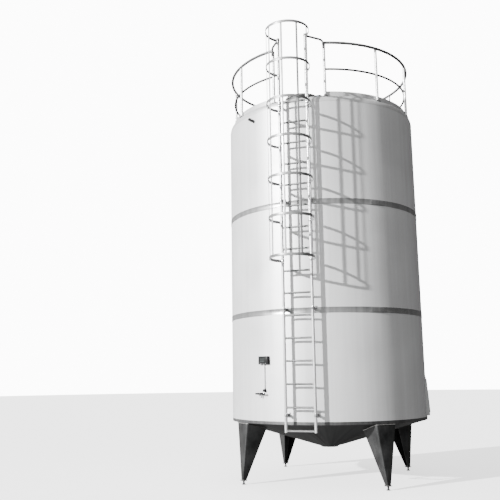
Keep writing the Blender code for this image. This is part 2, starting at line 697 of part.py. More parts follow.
# ---------------------------------------------------------------- roof manway
def make_manway():
    steel = satin_steel()
    place = Matrix.Translation((0, MANWAY_Y, 0))
    rim = MANWAY_RIM_Z
    inside = MANWAY_RADIUS - 0.003
    flange = MANWAY_RADIUS + 0.015
    neck_low = vessel_top_z(MANWAY_RADIUS - MANWAY_Y) - 0.012
    outline = [
        (MANWAY_RADIUS, neck_low), (MANWAY_RADIUS, rim - 0.008), (flange, rim - 0.008),
        (flange, rim), (inside, rim), (inside, neck_low),
    ]
    neck = lathe("manway_neck", outline, steel, MANWAY_FACETS, True, place)
    lugs = []
    for y in (-0.031, 0.031):
        hinge_low = (MANWAY_HINGE_X - 0.017, y - 0.004, rim - 0.030)
        lugs.append(block("lug_foot", hinge_low, (-0.2255, y + 0.004, rim - 0.0095), steel, place))
        lugs.append(block("lug", hinge_low, (-0.252, y + 0.004, rim + 0.024), steel, place))
    pin = rod("pin", (MANWAY_HINGE_X, MANWAY_Y - 0.037, MANWAY_HINGE_Z),
              (MANWAY_HINGE_X, MANWAY_Y + 0.037, MANWAY_HINGE_Z), 0.006, steel, 12)
    seat = block("seat", (0.2275, -0.020, rim - 0.030), (MANWAY_KNOB_X + 0.017, 0.020, rim - 0.0155),
                 steel, place)
    join(neck, *lugs, pin, seat)

    seal_top = rim + 0.006
    outline = [(flange - 0.002, rim + GAP), (flange - 0.002, seal_top - GAP),
               (inside + 0.001, seal_top - GAP), (inside + 0.001, rim + GAP)]
    gasket = lathe("manway_gasket", outline, white_rubber(), MANWAY_FACETS, True, place)
    hinge = (MANWAY_HINGE_X, MANWAY_Y, MANWAY_HINGE_Z)
    set_origin(gasket, hinge)

    dome = [(flange - 0.002, seal_top), (flange - 0.002, rim + 0.018), (flange - 0.010, rim + 0.021),
            (flange * 0.70, rim + 0.037), (flange * 0.35, rim + 0.046), (0.0, rim + 0.049)]
    under = [(0.0, rim + 0.046), (flange * 0.35, rim + 0.043), (flange * 0.70, rim + 0.034),
             (flange - 0.013, rim + 0.017), (flange - 0.013, seal_top)]
    lid = lathe("manway_lid", dome + under, steel, MANWAY_FACETS, True, place)
    arm = block("arm", (MANWAY_HINGE_X + 0.004, -0.026, seal_top + 0.0005),
                (-0.234, 0.026, rim + 0.017), steel, place)
    knuckle = block("knuckle", (MANWAY_HINGE_X - 0.012, -0.026, MANWAY_HINGE_Z - 0.0115),
                    (MANWAY_HINGE_X + 0.012, 0.026, MANWAY_HINGE_Z + 0.012), steel, place)
    ear = block("ear", (0.234, -0.022, seal_top + 0.0005), (MANWAY_KNOB_X + 0.018, 0.022, rim + 0.017),
                steel, place)
    join(lid, arm, knuckle, ear)
    pin_hole = rod("pin_hole", (MANWAY_HINGE_X, MANWAY_Y - 0.05, MANWAY_HINGE_Z),
                   (MANWAY_HINGE_X, MANWAY_Y + 0.05, MANWAY_HINGE_Z), 0.0068, steel, 12)
    stud_hole = rod("stud_hole", (MANWAY_KNOB_X, MANWAY_Y, rim - 0.02),
                    (MANWAY_KNOB_X, MANWAY_Y, rim + 0.06), 0.0068, steel, 12)
    cut(lid, pin_hole, stud_hole)
    set_origin(lid, hinge)

    place = Matrix.Translation((MANWAY_KNOB_X, MANWAY_Y, 0))
    low = rim + 0.017 + GAP
    outline = [(0.0, rim - 0.0150), (0.006, rim - 0.0150), (0.006, low), (0.014, low),
               (0.022, low + 0.010), (0.022, low + 0.022), (0.016, low + 0.030), (0.0, low + 0.030)]
    knob = lathe("manway_knob", outline, black_plastic(), 16, True, place)
    set_origin(knob, (MANWAY_KNOB_X, MANWAY_Y, rim))


# ---------------------------------------------------------------- agitator
def make_agitator():
    """Geared motor on a welded spool, and the paddle shaft that hangs from it."""
    paint = motor_paint()
    seat = AGITATOR_SEAT_Z
    low = vessel_top_z(AGITATOR_SPOOL) - 0.015
    outline = [
        (AGITATOR_SPOOL, low), (AGITATOR_SPOOL, seat - 0.012), (0.130, seat - 0.012), (0.130, seat + 0.012),
        (0.085, seat + 0.014), (0.085, seat + 0.120), (0.070, seat + 0.135), (0.078, seat + 0.140),
        (0.078, seat + 0.330), (0.060, seat + 0.350), (0.0, seat + 0.350), (0.0, seat + 0.060),
        (SHAFT_RADIUS + 0.001, seat + 0.060), (SHAFT_RADIUS + 0.001, seat - 0.012),
        (AGITATOR_SPOOL - 0.005, seat - 0.012), (AGITATOR_SPOOL - 0.005, low),
    ]
    motor = lathe("agitator_motor", outline, paint, 16)
    terminal = block("terminal", (0.060, -0.045, seat + 0.190), (0.125, 0.045, seat + 0.280), paint)
    join(motor, terminal)

    steel = vessel_steel()
    shaft = rod("agitator_shaft", (0, 0, SHAFT_BOTTOM_Z), (0, 0, seat + 0.055), SHAFT_RADIUS, steel, 16)
    blades = []
    for index, height in enumerate(PADDLE_HEIGHTS):
        for sign in (-1, 1):
            place = (Matrix.Translation((0, 0, height)) @ Matrix.Rotation(math.pi / 2 * index, 4, "Z")
                     @ Matrix.Rotation(math.radians(45.0 * sign), 4, "X"))
            ends = sorted((sign * 0.010, sign * PADDLE_SPAN / 2))
            blades.append(block("blade", (ends[0], -0.004, -0.050), (ends[1], 0.004, 0.050), steel, place))
    join(shaft, *blades)
    set_origin(shaft, (0, 0, SHAFT_BOTTOM_Z))


# ---------------------------------------------------------------- instruments and small valves
def make_display():
    """Display box with its window set in, and the probe below with its cable tube."""
    place = around(DISPLAY_AZIMUTH)
    back = CLAD_RADIUS + 0.001
    half = DISPLAY_WIDTH / 2
    tall = DISPLAY_HEIGHT / 2
    box = block("display_box", (back, -half, DISPLAY_Z - tall), (back + 0.040, half, DISPLAY_Z + tall),
                black_plastic(), place)
    recess = block("recess", (back + 0.036, 0.018 - half, DISPLAY_Z - tall + 0.022),
                   (back + 0.050, half - 0.018, DISPLAY_Z + tall - 0.018), black_plastic(), place)
    cut(box, recess)
    window = block("window", (back + 0.034, 0.020 - half, DISPLAY_Z - tall + 0.024),
                   (back + 0.0385, half - 0.020, DISPLAY_Z + tall - 0.020), black_plastic(), place)
    join(box, window)
    head = radial_rod("temperature_probe", DISPLAY_AZIMUTH, PROBE_Z, 0.020, CLAD_RADIUS + 0.001,
                      CLAD_RADIUS + 0.034, black_plastic(), 14)
    stem = radial_rod("stem", DISPLAY_AZIMUTH, PROBE_Z, 0.006, VESSEL_RADIUS - 0.120,
                      CLAD_RADIUS + 0.010, black_plastic(), 8)
    line = CLAD_RADIUS + 0.014
    cable_tube = rod("cable_tube", at(DISPLAY_AZIMUTH, line, PROBE_Z + 0.010),
                     at(DISPLAY_AZIMUTH, line, DISPLAY_Z - tall - GAP), 0.007, black_plastic(), 8)
    join(head, stem, cable_tube)


def make_sample_valve():
    """Plug valve through the wall, with a drip spout and a flat bar handle."""
    steel = polished_steel()
    body = radial_rod("sample_valve", SAMPLE_AZIMUTH, SAMPLE_Z, 0.019, CLAD_RADIUS + 0.001,
                      CLAD_RADIUS + 0.045, steel, 14)
    tail = radial_rod("tail", SAMPLE_AZIMUTH, SAMPLE_Z, 0.011, VESSEL_RADIUS - 0.006,
                      CLAD_RADIUS + 0.010, steel, 12)
    spout = rod("spout", at(SAMPLE_AZIMUTH, CLAD_RADIUS + 0.026, SAMPLE_Z - 0.010),
                at(SAMPLE_AZIMUTH, CLAD_RADIUS + 0.026, SAMPLE_Z - 0.055), 0.009, steel, 10)
    join(body, tail, spout)
    near = CLAD_RADIUS + 0.045 + GAP
    lever = block("sample_lever", (near + 0.004, -SAMPLE_BAR_LENGTH / 2, SAMPLE_Z - 0.009),
                  (near + 0.012, SAMPLE_BAR_LENGTH / 2, SAMPLE_Z + 0.009), black_plastic(),
                  around(SAMPLE_AZIMUTH))
    hub = radial_rod("hub", SAMPLE_AZIMUTH, SAMPLE_Z, 0.012, near, near + 0.016, black_plastic(), 12)
    join(lever, hub)
    set_origin(lever, at(SAMPLE_AZIMUTH, near, SAMPLE_Z))


def make_ports():
    """Two open stubs through the upper wall; the cleaning one carries a pipe and spray ball."""
    steel = dark_steel()
    start = VESSEL_RADIUS - 0.012
    end = CLAD_RADIUS + 0.034
    for name, (azimuth, height) in PORTS.items():
        port = radial_rod(name, azimuth, height, PORT_RADIUS, start, end, steel, 16)
        if name == "cip_port":
            line = radial_rod("line", azimuth, height, 0.017, VESSEL_RADIUS - 0.60, start + 0.004, steel, 10)
            ball = bmesh.new()
            bmesh.ops.create_uvsphere(ball, u_segments=12, v_segments=8, radius=0.040)
            centre = Matrix.Translation(at(azimuth, VESSEL_RADIUS - 0.62, height))
            bmesh.ops.transform(ball, matrix=centre, verts=ball.verts)
            join(port, line, finish(ball, "ball", steel, True))
            bore_start = VESSEL_RADIUS - 0.55
            bore_radius = 0.014
        else:
            bore_start = start - 0.02
            bore_radius = PORT_RADIUS - 0.003
        cut(port, radial_rod("bore", azimuth, height, bore_radius, bore_start, end + 0.02, steel, 16))


# ---------------------------------------------------------------- outlet
def make_outlet():
    """Butterfly valve on the drain pipe; disc, stem and lever turn together."""
    steel = polished_steel()
    start = OUTLET_END + GAP
    end = start + OUTLET_VALVE_LENGTH
    middle = (start + end) / 2
    body = rod("outlet_valve", (0, start, OUTLET_Z), (0, end, OUTLET_Z), 0.046, steel, 20)
    boss_top = OUTLET_Z + 0.075
    boss = rod("boss", (0, middle, OUTLET_Z + 0.030), (0, middle, boss_top), 0.013, steel, 12)
    join(body, boss)
    bore = rod("bore", (0, start - 0.02, OUTLET_Z), (0, end + 0.02, OUTLET_Z), 0.033, steel, 20)
    stem_hole = rod("stem_hole", (0, middle, OUTLET_Z), (0, middle, boss_top + 0.02), 0.0068, steel, 12)
    cut(body, bore, stem_hole)

    lever = block("outlet_lever", (-0.018, middle - 0.010, boss_top + GAP),
                  (0.150, middle + 0.010, boss_top + 0.008), steel)
    stem = rod("stem", (0, middle, OUTLET_Z), (0, middle, boss_top + 0.004), 0.006, steel, 12)
    disc = rod("disc", (0, middle - 0.003, OUTLET_Z), (0, middle + 0.003, OUTLET_Z), 0.0315, steel, 20)
    join(lever, stem, disc)
    set_origin(lever, (0, middle, OUTLET_Z))


# ---------------------------------------------------------------- side manway and its cover
def make_side_manway():
    """Blanking plate with eight bolt heads over the side neck."""
    steel = polished_steel()
    inner = CLAD_RADIUS + 0.0016
    plate = radial_rod("side_manway_plate", COVER_AZIMUTH, SIDE_MANWAY_Z, 0.150, inner,
                       inner + 0.005, steel, 24)
    heads = []
    for step in range(8):
        turn = 2 * math.pi * (step + 0.5) / 8
        start = at(COVER_AZIMUTH, inner + 0.003, SIDE_MANWAY_Z + 0.136 * math.sin(turn),
                   0.136 * math.cos(turn))
        end = start + around(COVER_AZIMUTH).to_3x3() @ Vector((0.0055, 0, 0))
        heads.append(rod("bolt", start, end, 0.008, steel, 6))
    return join(plate, *heads)


def make_side_cover():
    """Sloping sheet tray, shaped to the cladding and hung from its top edge."""
    place = around(COVER_AZIMUTH)
    steel = satin_steel()
    half = COVER_WIDTH / 2
    wall = 0.003
    top_radius = CLAD_RADIUS + 0.0065
    back = CLAD_RADIUS - 0.050
    outer = [
        (back, COVER_BOTTOM_Z), (COVER_OUTER - 0.010, COVER_BOTTOM_Z),
        (COVER_OUTER, COVER_BOTTOM_Z + 0.020), (top_radius, COVER_TOP_Z), (back, COVER_TOP_Z),
    ]
    inner = [
        (back - 0.01, COVER_BOTTOM_Z + wall), (COVER_OUTER - 0.010 - wall, COVER_BOTTOM_Z + wall),
        (COVER_OUTER - wall, COVER_BOTTOM_Z + 0.020 + wall), (top_radius - wall, COVER_TOP_Z - 0.008),
        (back - 0.01, COVER_TOP_Z - 0.008),
    ]
    cover = prism("side_cover", outer, -half, half, steel, place)
    hollow = prism("hollow", inner, wall - half, half - wall, steel, place)
    tank = lathe("tank", [(0.0, 0.5), (CLAD_RADIUS + 0.0012, 0.5), (CLAD_RADIUS + 0.0012, 2.0), (0.0, 2.0)],
                 steel)
    cut(cover, hollow, tank)
    barrel = rod("barrel", at(COVER_AZIMUTH, COVER_HINGE_RADIUS, COVER_HINGE_Z, -0.200),
                 at(COVER_AZIMUTH, COVER_HINGE_RADIUS, COVER_HINGE_Z, 0.200), 0.005, steel, 10)
    join(cover, barrel)
    return set_origin(cover, at(COVER_AZIMUTH, COVER_HINGE_RADIUS, COVER_HINGE_Z))


# ---------------------------------------------------------------- assembly
def build():
    clear_scene()
    make_inner_vessel()
    make_foam_insulation()
    make_cladding()
    make_belts()
    make_bottom_trim()
    make_cone_cover()
    make_roof_cover()
    for index, azimuth in enumerate(LEG_AZIMUTHS):
        make_leg(f"leg_{index + 1}", azimuth)
        make_foot(f"foot_{index + 1}", azimuth)
    make_ladder()
    make_cage()
    make_guard_rail()
    make_manway()
    make_agitator()
    make_display()
    make_sample_valve()
    make_ports()
    make_outlet()
    make_side_manway()
    make_side_cover()

    axis = bpy.data.objects.new("tank_axis", None)
    axis.location = (AXIS_X, AXIS_Y, 0.0)
    bpy.context.scene.collection.objects.link(axis)
    for piece in bpy.data.objects:
        if piece is not axis:
            piece.parent = axis


build()
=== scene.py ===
"""Looks of the milk silo: smooth sheet, tube and small fittings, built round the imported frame.

Metres, +Z up; mm() reads outlines in millimetres. Azimuths are degrees about the tank's axis,
0 at the ladder, positive toward +X.
"""
import math

import bmesh
import bpy
from mathutils import Matrix, Vector


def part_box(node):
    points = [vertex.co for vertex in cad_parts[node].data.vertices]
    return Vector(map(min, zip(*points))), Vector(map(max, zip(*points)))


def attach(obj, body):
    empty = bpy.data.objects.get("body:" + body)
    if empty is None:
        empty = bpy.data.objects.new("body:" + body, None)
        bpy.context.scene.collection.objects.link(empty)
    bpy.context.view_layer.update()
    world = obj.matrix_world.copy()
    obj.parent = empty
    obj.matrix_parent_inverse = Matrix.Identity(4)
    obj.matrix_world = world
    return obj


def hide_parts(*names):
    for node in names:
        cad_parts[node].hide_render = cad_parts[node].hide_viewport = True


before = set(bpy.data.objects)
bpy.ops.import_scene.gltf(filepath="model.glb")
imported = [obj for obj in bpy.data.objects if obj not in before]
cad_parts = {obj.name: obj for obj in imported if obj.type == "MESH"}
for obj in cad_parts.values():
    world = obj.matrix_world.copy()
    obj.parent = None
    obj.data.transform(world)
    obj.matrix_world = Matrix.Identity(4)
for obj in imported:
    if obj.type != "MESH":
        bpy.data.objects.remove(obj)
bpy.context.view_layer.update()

# ---------------------------------------------------------------- places read from the frame
BELT_LOW, BELT_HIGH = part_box("lower_belt")
AXIS_X = (BELT_LOW.x + BELT_HIGH.x) / 2
AXIS_Y = (BELT_LOW.y + BELT_HIGH.y) / 2
BELT_RADIUS = (BELT_HIGH.x - BELT_LOW.x) / 2
CLAD_LOW, CLAD_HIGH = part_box("lower_cladding")
CLAD_RADIUS = (CLAD_HIGH.x - CLAD_LOW.x) / 2
CONE_LOW, CONE_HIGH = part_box("cone_cover")
CONE_RADIUS = (CONE_HIGH.x - CONE_LOW.x) / 2
CONE_RIM_Z = 0.836
CONE_SLOPE = 0.297
SHEET = 0.0025                # thickness of the skins
GAP = 0.0004                  # air between separate pieces
SKIN_FACETS = 192
NECK_FACETS = 96
TUBE_SIDES = 20
QUARTER = math.pi / 2
CREASE = math.radians(35.0)   # sharper edges than this stay sharp
TANK = Matrix.Translation((AXIS_X, AXIS_Y, 0.0))


def cone_z(radius):
    """Height of the cone's underside."""
    return CONE_RIM_Z - CONE_SLOPE * (CONE_RADIUS - radius)


# ---------------------------------------------------------------- shape helpers
def around(azimuth):
    """Axes at an azimuth: X radially outward, Y tangential, Z up, from the tank's axis."""
    turn = math.radians(azimuth)
    outward = Vector((math.sin(turn), -math.cos(turn), 0.0))
    sideways = Vector((math.cos(turn), math.sin(turn), 0.0))
    return TANK @ Matrix((outward, sideways, (0.0, 0.0, 1.0))).transposed().to_4x4()


def at(azimuth, radius, height, sideways=0.0):
    return around(azimuth) @ Vector((radius, sideways, height))


def facing_out(azimuth, radius, height):
    """Axes on the tank's wall with Z outward."""
    return around(azimuth) @ Matrix.Translation((radius, 0, height)) @ Matrix.Rotation(QUARTER, 4, "Y")


def mm(points, radius=0.0, height=0.0):
    """(r, z) outline in metres from one in millimetres about a radius and a height."""
    return [(radius + r / 1000, height + z / 1000) for r, z in points]


def turns(count, shift=0.0):
    """Equal steps round a circle in radians, the first one shifted by a share of a step."""
    return [2 * math.pi * (step + shift) / count for step in range(count)]


def join_rings(builder, rings):
    """Faces between each ring of points and the next; a ring of one point is a pole."""
    for lower, upper in zip(rings, rings[1:]):
        count = max(len(lower), len(upper))
        if count == 1:
            continue
        for step in range(count):
            following = (step + 1) % count
            corners = (lower[step % len(lower)], lower[following % len(lower)],
                       upper[following % len(upper)], upper[step % len(upper)])
            builder.faces.new(list(dict.fromkeys(corners)))


def add_lathe(builder, profile, segments, place=TANK):
    """Turn a closed (r, z) outline about Z; points at r = 0 become poles."""
    rings = []
    for r, z in profile:
        spots = [(0.0, 0.0)] if r < 1e-6 else [(r * math.cos(t), r * math.sin(t)) for t in turns(segments)]
        rings.append([builder.verts.new(place @ Vector((x, y, z))) for x, y in spots])
    join_rings(builder, rings + rings[:1])


def cross_axes(along, side=None):
    """Side and up across a direction; near the vertical the side before it carries on."""
    if side is None or abs(along.z) < 0.95:
        reference = Vector((0, 0, 1)) if abs(along.z) < 0.95 else Vector((0, 1, 0))
        side = along.cross(reference).normalized()
    side = (side - along * side.dot(along)).normalized()
    return side, side.cross(along)


def add_swept(builder, path, sections, closed=False):
    """Join (side, up) sections, one for each point of a path."""
    path = [Vector(point) for point in path]
    count = len(path)
    rings = []
    side = None
    for index, (point, section) in enumerate(zip(path, sections)):
        before = path[index - 1] if closed or index else path[0]
        after = path[(index + 1) % count] if closed or index < count - 1 else path[-1]
        side, up = cross_axes((after - before).normalized(), side)
        rings.append([builder.verts.new(point + side * a + up * b) for a, b in section])
    if closed:
        join_rings(builder, rings + rings[:1])
        return
    join_rings(builder, rings)
    builder.faces.new(rings[0])
    builder.faces.new(rings[-1][::-1])


def add_sweep(builder, path, section):
    """Carry one section along a path whose 'up' stays as near +Z as it can."""
    add_swept(builder, path, [section] * len(path))


def add_block(builder, low, high, place, bevel):
    """Box between two corners with all its edges rounded."""
    low = Vector(low)
    high = Vector(high)
    made = bmesh.ops.create_cube(builder, size=1.0)["verts"]
    matrix = Matrix.Translation((low + high) / 2) @ Matrix.Diagonal((*(high - low), 1.0))
    bmesh.ops.transform(builder, matrix=place @ matrix, verts=made)
    edges = {edge for vert in made for edge in vert.link_edges}
    bmesh.ops.bevel(builder, geom=list(edges), offset=bevel, segments=2, profile=0.5, affect="EDGES")


def circle(radius, sides=TUBE_SIDES):
    return [(radius * math.cos(turn), radius * math.sin(turn)) for turn in turns(sides, 0.5)]


def rounded_bar(width, height, corner=0.0012):
    """Section of a flat bar with rounded corners."""
    points = []
    for sx, sy, start in ((1, 1, 0), (-1, 1, 90), (-1, -1, 180), (1, -1, 270)):
        for step in range(4):
            turn = math.radians(start + 30 * step)
            points.append((sx * (width / 2 - corner) + corner * math.cos(turn),
                           sy * (height / 2 - corner) + corner * math.sin(turn)))
    return points


def add_rod(builder, start, end, radius, sides=TUBE_SIDES, chamfer=0.0):
    """Round bar; a chamfer draws its ends in."""
    start = Vector(start)
    end = Vector(end)
    if not chamfer:
        add_sweep(builder, [start, end], circle(radius, sides))
        return
    inset = (end - start).normalized() * chamfer
    small = circle(radius - chamfer, sides)
    full = circle(radius, sides)
    add_swept(builder, [start, start + inset, end - inset, end], [small, full, full, small])


def add_pin(builder, place, start, end, radius, sides=TUBE_SIDES, chamfer=0.0):
    """Round bar between two points of the given axes."""
    add_rod(builder, place @ Vector(start), place @ Vector(end), radius, sides, chamfer)


def add_tube(builder, start, end, outer, inner, sides=TUBE_SIDES):
    """Open pipe with a wall."""
    start = Vector(start)
    end = Vector(end)
    side, up = cross_axes((end - start).normalized())
    loops = []
    for point, radius in ((start, outer), (end, outer), (end, inner), (start, inner)):
        loops.append([builder.verts.new(point + side * a + up * b) for a, b in circle(radius, sides)])
    join_rings(builder, loops + loops[:1])


def add_bolt(builder, seat, outward, radius, height):
    """Hexagon head with a chamfered crown on a washer."""
    seat = Vector(seat)
    reach = Vector(outward).normalized() * height
    add_rod(builder, seat, seat + reach * 0.25, radius * 1.35, 20)
    add_rod(builder, seat + reach * 0.25, seat + reach, radius, 6, radius * 0.12)


def add_rivet(builder, azimuth, radius, height, sideways=0.0):
    """Low round head on a skin of the given radius."""
    add_rod(builder, at(azimuth, radius + 0.0018, height, sideways),
            at(azimuth, radius + 0.0048, height, sideways), 0.0055, 12, 0.0014)


def collar(builder, centre, along, inner, outer, length):
    """Short fillet ring round a tube where another one is welded to it."""
    turn = Vector(along).normalized().to_track_quat("Z", "Y").to_matrix().to_4x4()
    half = length / 2
    middle = (inner + outer) / 2
    profile = [(inner, -half), (middle, -half * 0.6), (outer, 0.0), (middle, half * 0.6), (inner, half),
               (inner - 0.001, 0.0)]
    add_lathe(builder, profile, 20, Matrix.Translation(centre) @ turn)


def weld_path(builder, path, radius, closed=False):
    """Rippled weld bead along a path."""
    path = [Vector(point) for point in path]
    fine = []
    for start, end in zip(path, path[1:] + (path[:1] if closed else [])):
        steps = max(1, int((end - start).length / (radius * 1.2)))
        fine += [start.lerp(end, step / steps) for step in range(steps)]
    if not closed:
        fine.append(path[-1])
    ripple = [circle(radius * (0.86 + 0.14 * math.cos(math.pi * index)), 8) for index in range(len(fine))]
    add_swept(builder, fine, ripple, closed)


def arc_points(radius, height, first, last, step_angle):
    """Points along a level arc about the tank's axis."""
    count = max(2, round(abs(last - first) / step_angle))
    return [at(first + (last - first) * k / count, radius, height) for k in range(count + 1)]


def rounded_path(corners, radius, steps=6):
    """Polyline with its inner corners rounded."""
    corners = [Vector(point) for point in corners]
    path = [corners[0]]
    for before, corner, after in zip(corners, corners[1:], corners[2:]):
        reach = min(radius, (before - corner).length / 2, (after - corner).length / 2)
        start = corner + (before - corner).normalized() * reach
        end = corner + (after - corner).normalized() * reach
        for step in range(steps + 1):
            t = step / steps
            path.append(start * (1 - t) ** 2 + corner * 2 * t * (1 - t) + end * t ** 2)
    return path + [corners[-1]]


def shell(points, thickness):
    """Closed outline of a sheet: an open (r, z) path and its mitred copy to the left of its travel."""
    normals = []
    for (r0, z0), (r1, z1) in zip(points, points[1:]):
        length = math.hypot(r1 - r0, z1 - z0)
        normals.append(((z1 - z0) / length, (r0 - r1) / length))
    shifted = []
    for index, (r, z) in enumerate(points):
        before = normals[max(index - 1, 0)]
        after = normals[min(index, len(normals) - 1)]
        scale = -thickness / (1 + before[0] * after[0] + before[1] * after[1])
        shifted.append((r + (before[0] + after[0]) * scale, z + (before[1] + after[1]) * scale))
    return list(points) + shifted[::-1]


def piece(name, builder, surface, stands_for=None, body="tank"):
    """Finish a bmesh as a visible piece that rides on a body."""
    bmesh.ops.recalc_face_normals(builder, faces=builder.faces)
    mesh = bpy.data.meshes.new(name)
    builder.to_mesh(mesh)
    builder.free()
    mesh.shade_smooth()
    mesh.set_sharp_from_angle(angle=CREASE)
    mesh.materials.append(surface)
    made = bpy.data.objects.new(name, mesh)
    bpy.context.scene.collection.objects.link(made)
    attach(made, body)
    if stands_for:
        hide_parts(stands_for)
    return made


def lathe_piece(name, profile, surface, stands_for, segments=SKIN_FACETS):
    builder = bmesh.new()
    add_lathe(builder, profile, segments)
    return piece(name, builder, surface, stands_for)


def cut_away(target, builder):
    """Take a closed shape out of a piece."""
    mesh = bpy.data.meshes.new("cutter")
    bmesh.ops.recalc_face_normals(builder, faces=builder.faces)
    builder.to_mesh(mesh)
    builder.free()
    tool = bpy.data.objects.new("cutter", mesh)
    bpy.context.scene.collection.objects.link(tool)
    step = target.modifiers.new("cut", "BOOLEAN")
    step.operation = "DIFFERENCE"
    step.solver = "EXACT"
    step.object = tool
    bpy.context.view_layer.update()
    depsgraph = bpy.context.evaluated_depsgraph_get()
    baked = bpy.data.meshes.new_from_object(target.evaluated_get(depsgraph))
    surface = target.data.materials[0]
    target.modifiers.clear()
    target.data = baked
    baked.materials.clear()
    baked.materials.append(surface)
    baked.shade_smooth()
    baked.set_sharp_from_angle(angle=CREASE)
    bpy.data.objects.remove(tool)


# ---------------------------------------------------------------- materials
class Nodes:
    """Short names for building the node tree of a material or of the world."""

    def __init__(self, holder):
        self.holder = holder
        holder.use_nodes = True
        self.tree = holder.node_tree
        self.shader = self.tree.nodes.get("Principled BSDF")

    def new(self, kind, **settings):
        node = self.tree.nodes.new(kind)
        for key, value in settings.items():
            setattr(node, key, value)
        return node

    def link(self, source, target):
        self.tree.links.new(source, target)

    def math(self, operation, first, second):
        node = self.new("ShaderNodeMath", operation=operation)
        for socket, value in zip(node.inputs, (first, second)):
            if isinstance(value, (int, float)):
                socket.default_value = value
            else:
                self.link(value, socket)
        return node.outputs[0]

    def position(self):
        return self.new("ShaderNodeTexCoord").outputs["Object"]

    def wrapped(self, across, up):
        """Coordinates unrolled round the tank: arc length and height, each stretched."""
        split = self.new("ShaderNodeSeparateXYZ")
        self.link(self.position(), split.inputs[0])
        dx = self.math("SUBTRACT", split.outputs[0], AXIS_X)
        dy = self.math("SUBTRACT", AXIS_Y, split.outputs[1])
        arc = self.math("MULTIPLY", self.math("ARCTAN2", dx, dy), across * CLAD_RADIUS)
        reach = self.math("MULTIPLY", self.math("ADD", dx, dy), 0.2)
        height = self.math("MULTIPLY", split.outputs[2], up)
        join = self.new("ShaderNodeCombineXYZ")
        for socket, value in zip(join.inputs, (arc, reach, height)):
            self.link(value, socket)
        return join.outputs[0]

    def stretched(self, scale):
        mapping = self.new("ShaderNodeMapping")
        mapping.inputs["Scale"].default_value = scale
        self.link(self.position(), mapping.inputs["Vector"])
        return mapping.outputs[0]

    def noise(self, vector, scale, detail=3.0, roughness=0.55):
        node = self.new("ShaderNodeTexNoise")
        node.inputs["Scale"].default_value = scale
        node.inputs["Detail"].default_value = detail
        node.inputs["Roughness"].default_value = roughness
        self.link(vector, node.inputs["Vector"])
        return node.outputs["Fac"]

    def span(self, value, low, high, start=0.3, end=0.7):
        """Map start..end onto low..high and hold it there."""
        node = self.new("ShaderNodeMapRange")
        ends = {"From Min": start, "From Max": end, "To Min": low, "To Max": high}
        for key, number in ends.items():
            node.inputs[key].default_value = number
        self.link(value, node.inputs["Value"])
        return node.outputs["Result"]

    def grey(self, value, tint=(1.0, 1.0, 1.0)):
        """Colour from one grey level, with a slight tint."""
        join = self.new("ShaderNodeCombineColor")
        for socket, share in zip(join.inputs, tint):
            self.link(self.math("MULTIPLY", value, share), socket)
        return join.outputs[0]

    def bump(self, heights):
        """Chain of (height, strength, distance) bumps into the shader's normal."""
        normal = None
        for height, strength, distance in heights:
            node = self.new("ShaderNodeBump")
            node.inputs["Strength"].default_value = strength
            node.inputs["Distance"].default_value = distance
            self.link(height, node.inputs["Height"])
            if normal is not None:
                self.link(normal, node.inputs["Normal"])
            normal = node.outputs["Normal"]
        self.link(normal, self.shader.inputs["Normal"])

    def colour(self, socket):
        self.link(socket, self.shader.inputs["Base Color"])

    def roughness(self, socket):
        self.link(socket, self.shader.inputs["Roughness"])

    def fixed(self, socket, value):
        self.shader.inputs[socket].default_value = value


STEEL_TINT = (0.995, 1.0, 1.004)


def new_material(name):
    return Nodes(bpy.data.materials.new(name))


def sheet_steel(name, tone, roughness, metallic, streak=0.05, wave=0.25):
    """Round-brushed stainless sheet with run-off streaks and slight panel waviness."""
    n = new_material(name)
    brush = n.noise(n.wrapped(1.4, 160.0), 3.0, 4.0, 0.7)
    streaks = n.noise(n.wrapped(7.0, 0.22), 2.0, 5.0, 0.6)
    cloud = n.noise(n.wrapped(0.8, 0.8), 1.6, 4.0)
    panel = n.noise(n.wrapped(0.55, 1.6), 1.5, 2.0)
    level = n.math("ADD", n.span(brush, -0.022, 0.022), n.span(streaks, -streak, streak, 0.25, 0.75))
    level = n.math("ADD", level, n.span(cloud, -0.03, 0.03))
    n.colour(n.grey(n.math("ADD", level, tone), STEEL_TINT))
    rough = n.math("ADD", n.span(brush, -0.06, 0.06), n.span(cloud, -0.05, 0.05))
    n.roughness(n.math("ADD", rough, roughness))
    n.fixed("Metallic", metallic)
    n.bump([(panel, wave, 0.012), (brush, 0.10, 0.0006)])
    return n.holder


def worked_steel(name, tone, roughness, metallic, spread=0.06, grain=90.0, scuffs=0.3):
    """Plate or tube: mill grain, scuffs and uneven handling marks."""
    n = new_material(name)
    fine = n.noise(n.position(), grain, 4.0, 0.65)
    broad = n.noise(n.position(), 4.5, 5.0, 0.6)
    marks = n.noise(n.stretched((30.0, 30.0, 4.0)), 1.0, 3.0, 0.5)
    level = n.math("ADD", n.span(fine, -spread * 0.4, spread * 0.4), n.span(broad, -spread, spread))
    level = n.math("ADD", level, n.span(marks, 0.0, spread * 0.8, 0.55, 0.75))
    n.colour(n.grey(n.math("MAXIMUM", n.math("ADD", level, tone), 0.004), STEEL_TINT))
    rough = n.math("ADD", n.span(fine, -0.05, 0.08), n.span(broad, -0.06, 0.06))
    n.roughness(n.math("ADD", rough, roughness))
    n.fixed("Metallic", metallic)
    n.bump([(broad, 0.12, 0.004), (fine, scuffs, 0.0004)])
    return n.holder


def weld_steel(name):
    """Bright, rippled weld metal."""
    n = new_material(name)
    broad = n.noise(n.position(), 22.0, 4.0)
    ripple = n.noise(n.position(), 260.0, 2.0)
    n.colour(n.grey(n.span(broad, 0.40, 0.72), (1.0, 0.985, 0.96)))
    n.roughness(n.span(ripple, 0.28, 0.5))
    n.fixed("Metallic", 0.85)
    n.bump([(ripple, 0.3, 0.0006)])
    return n.holder


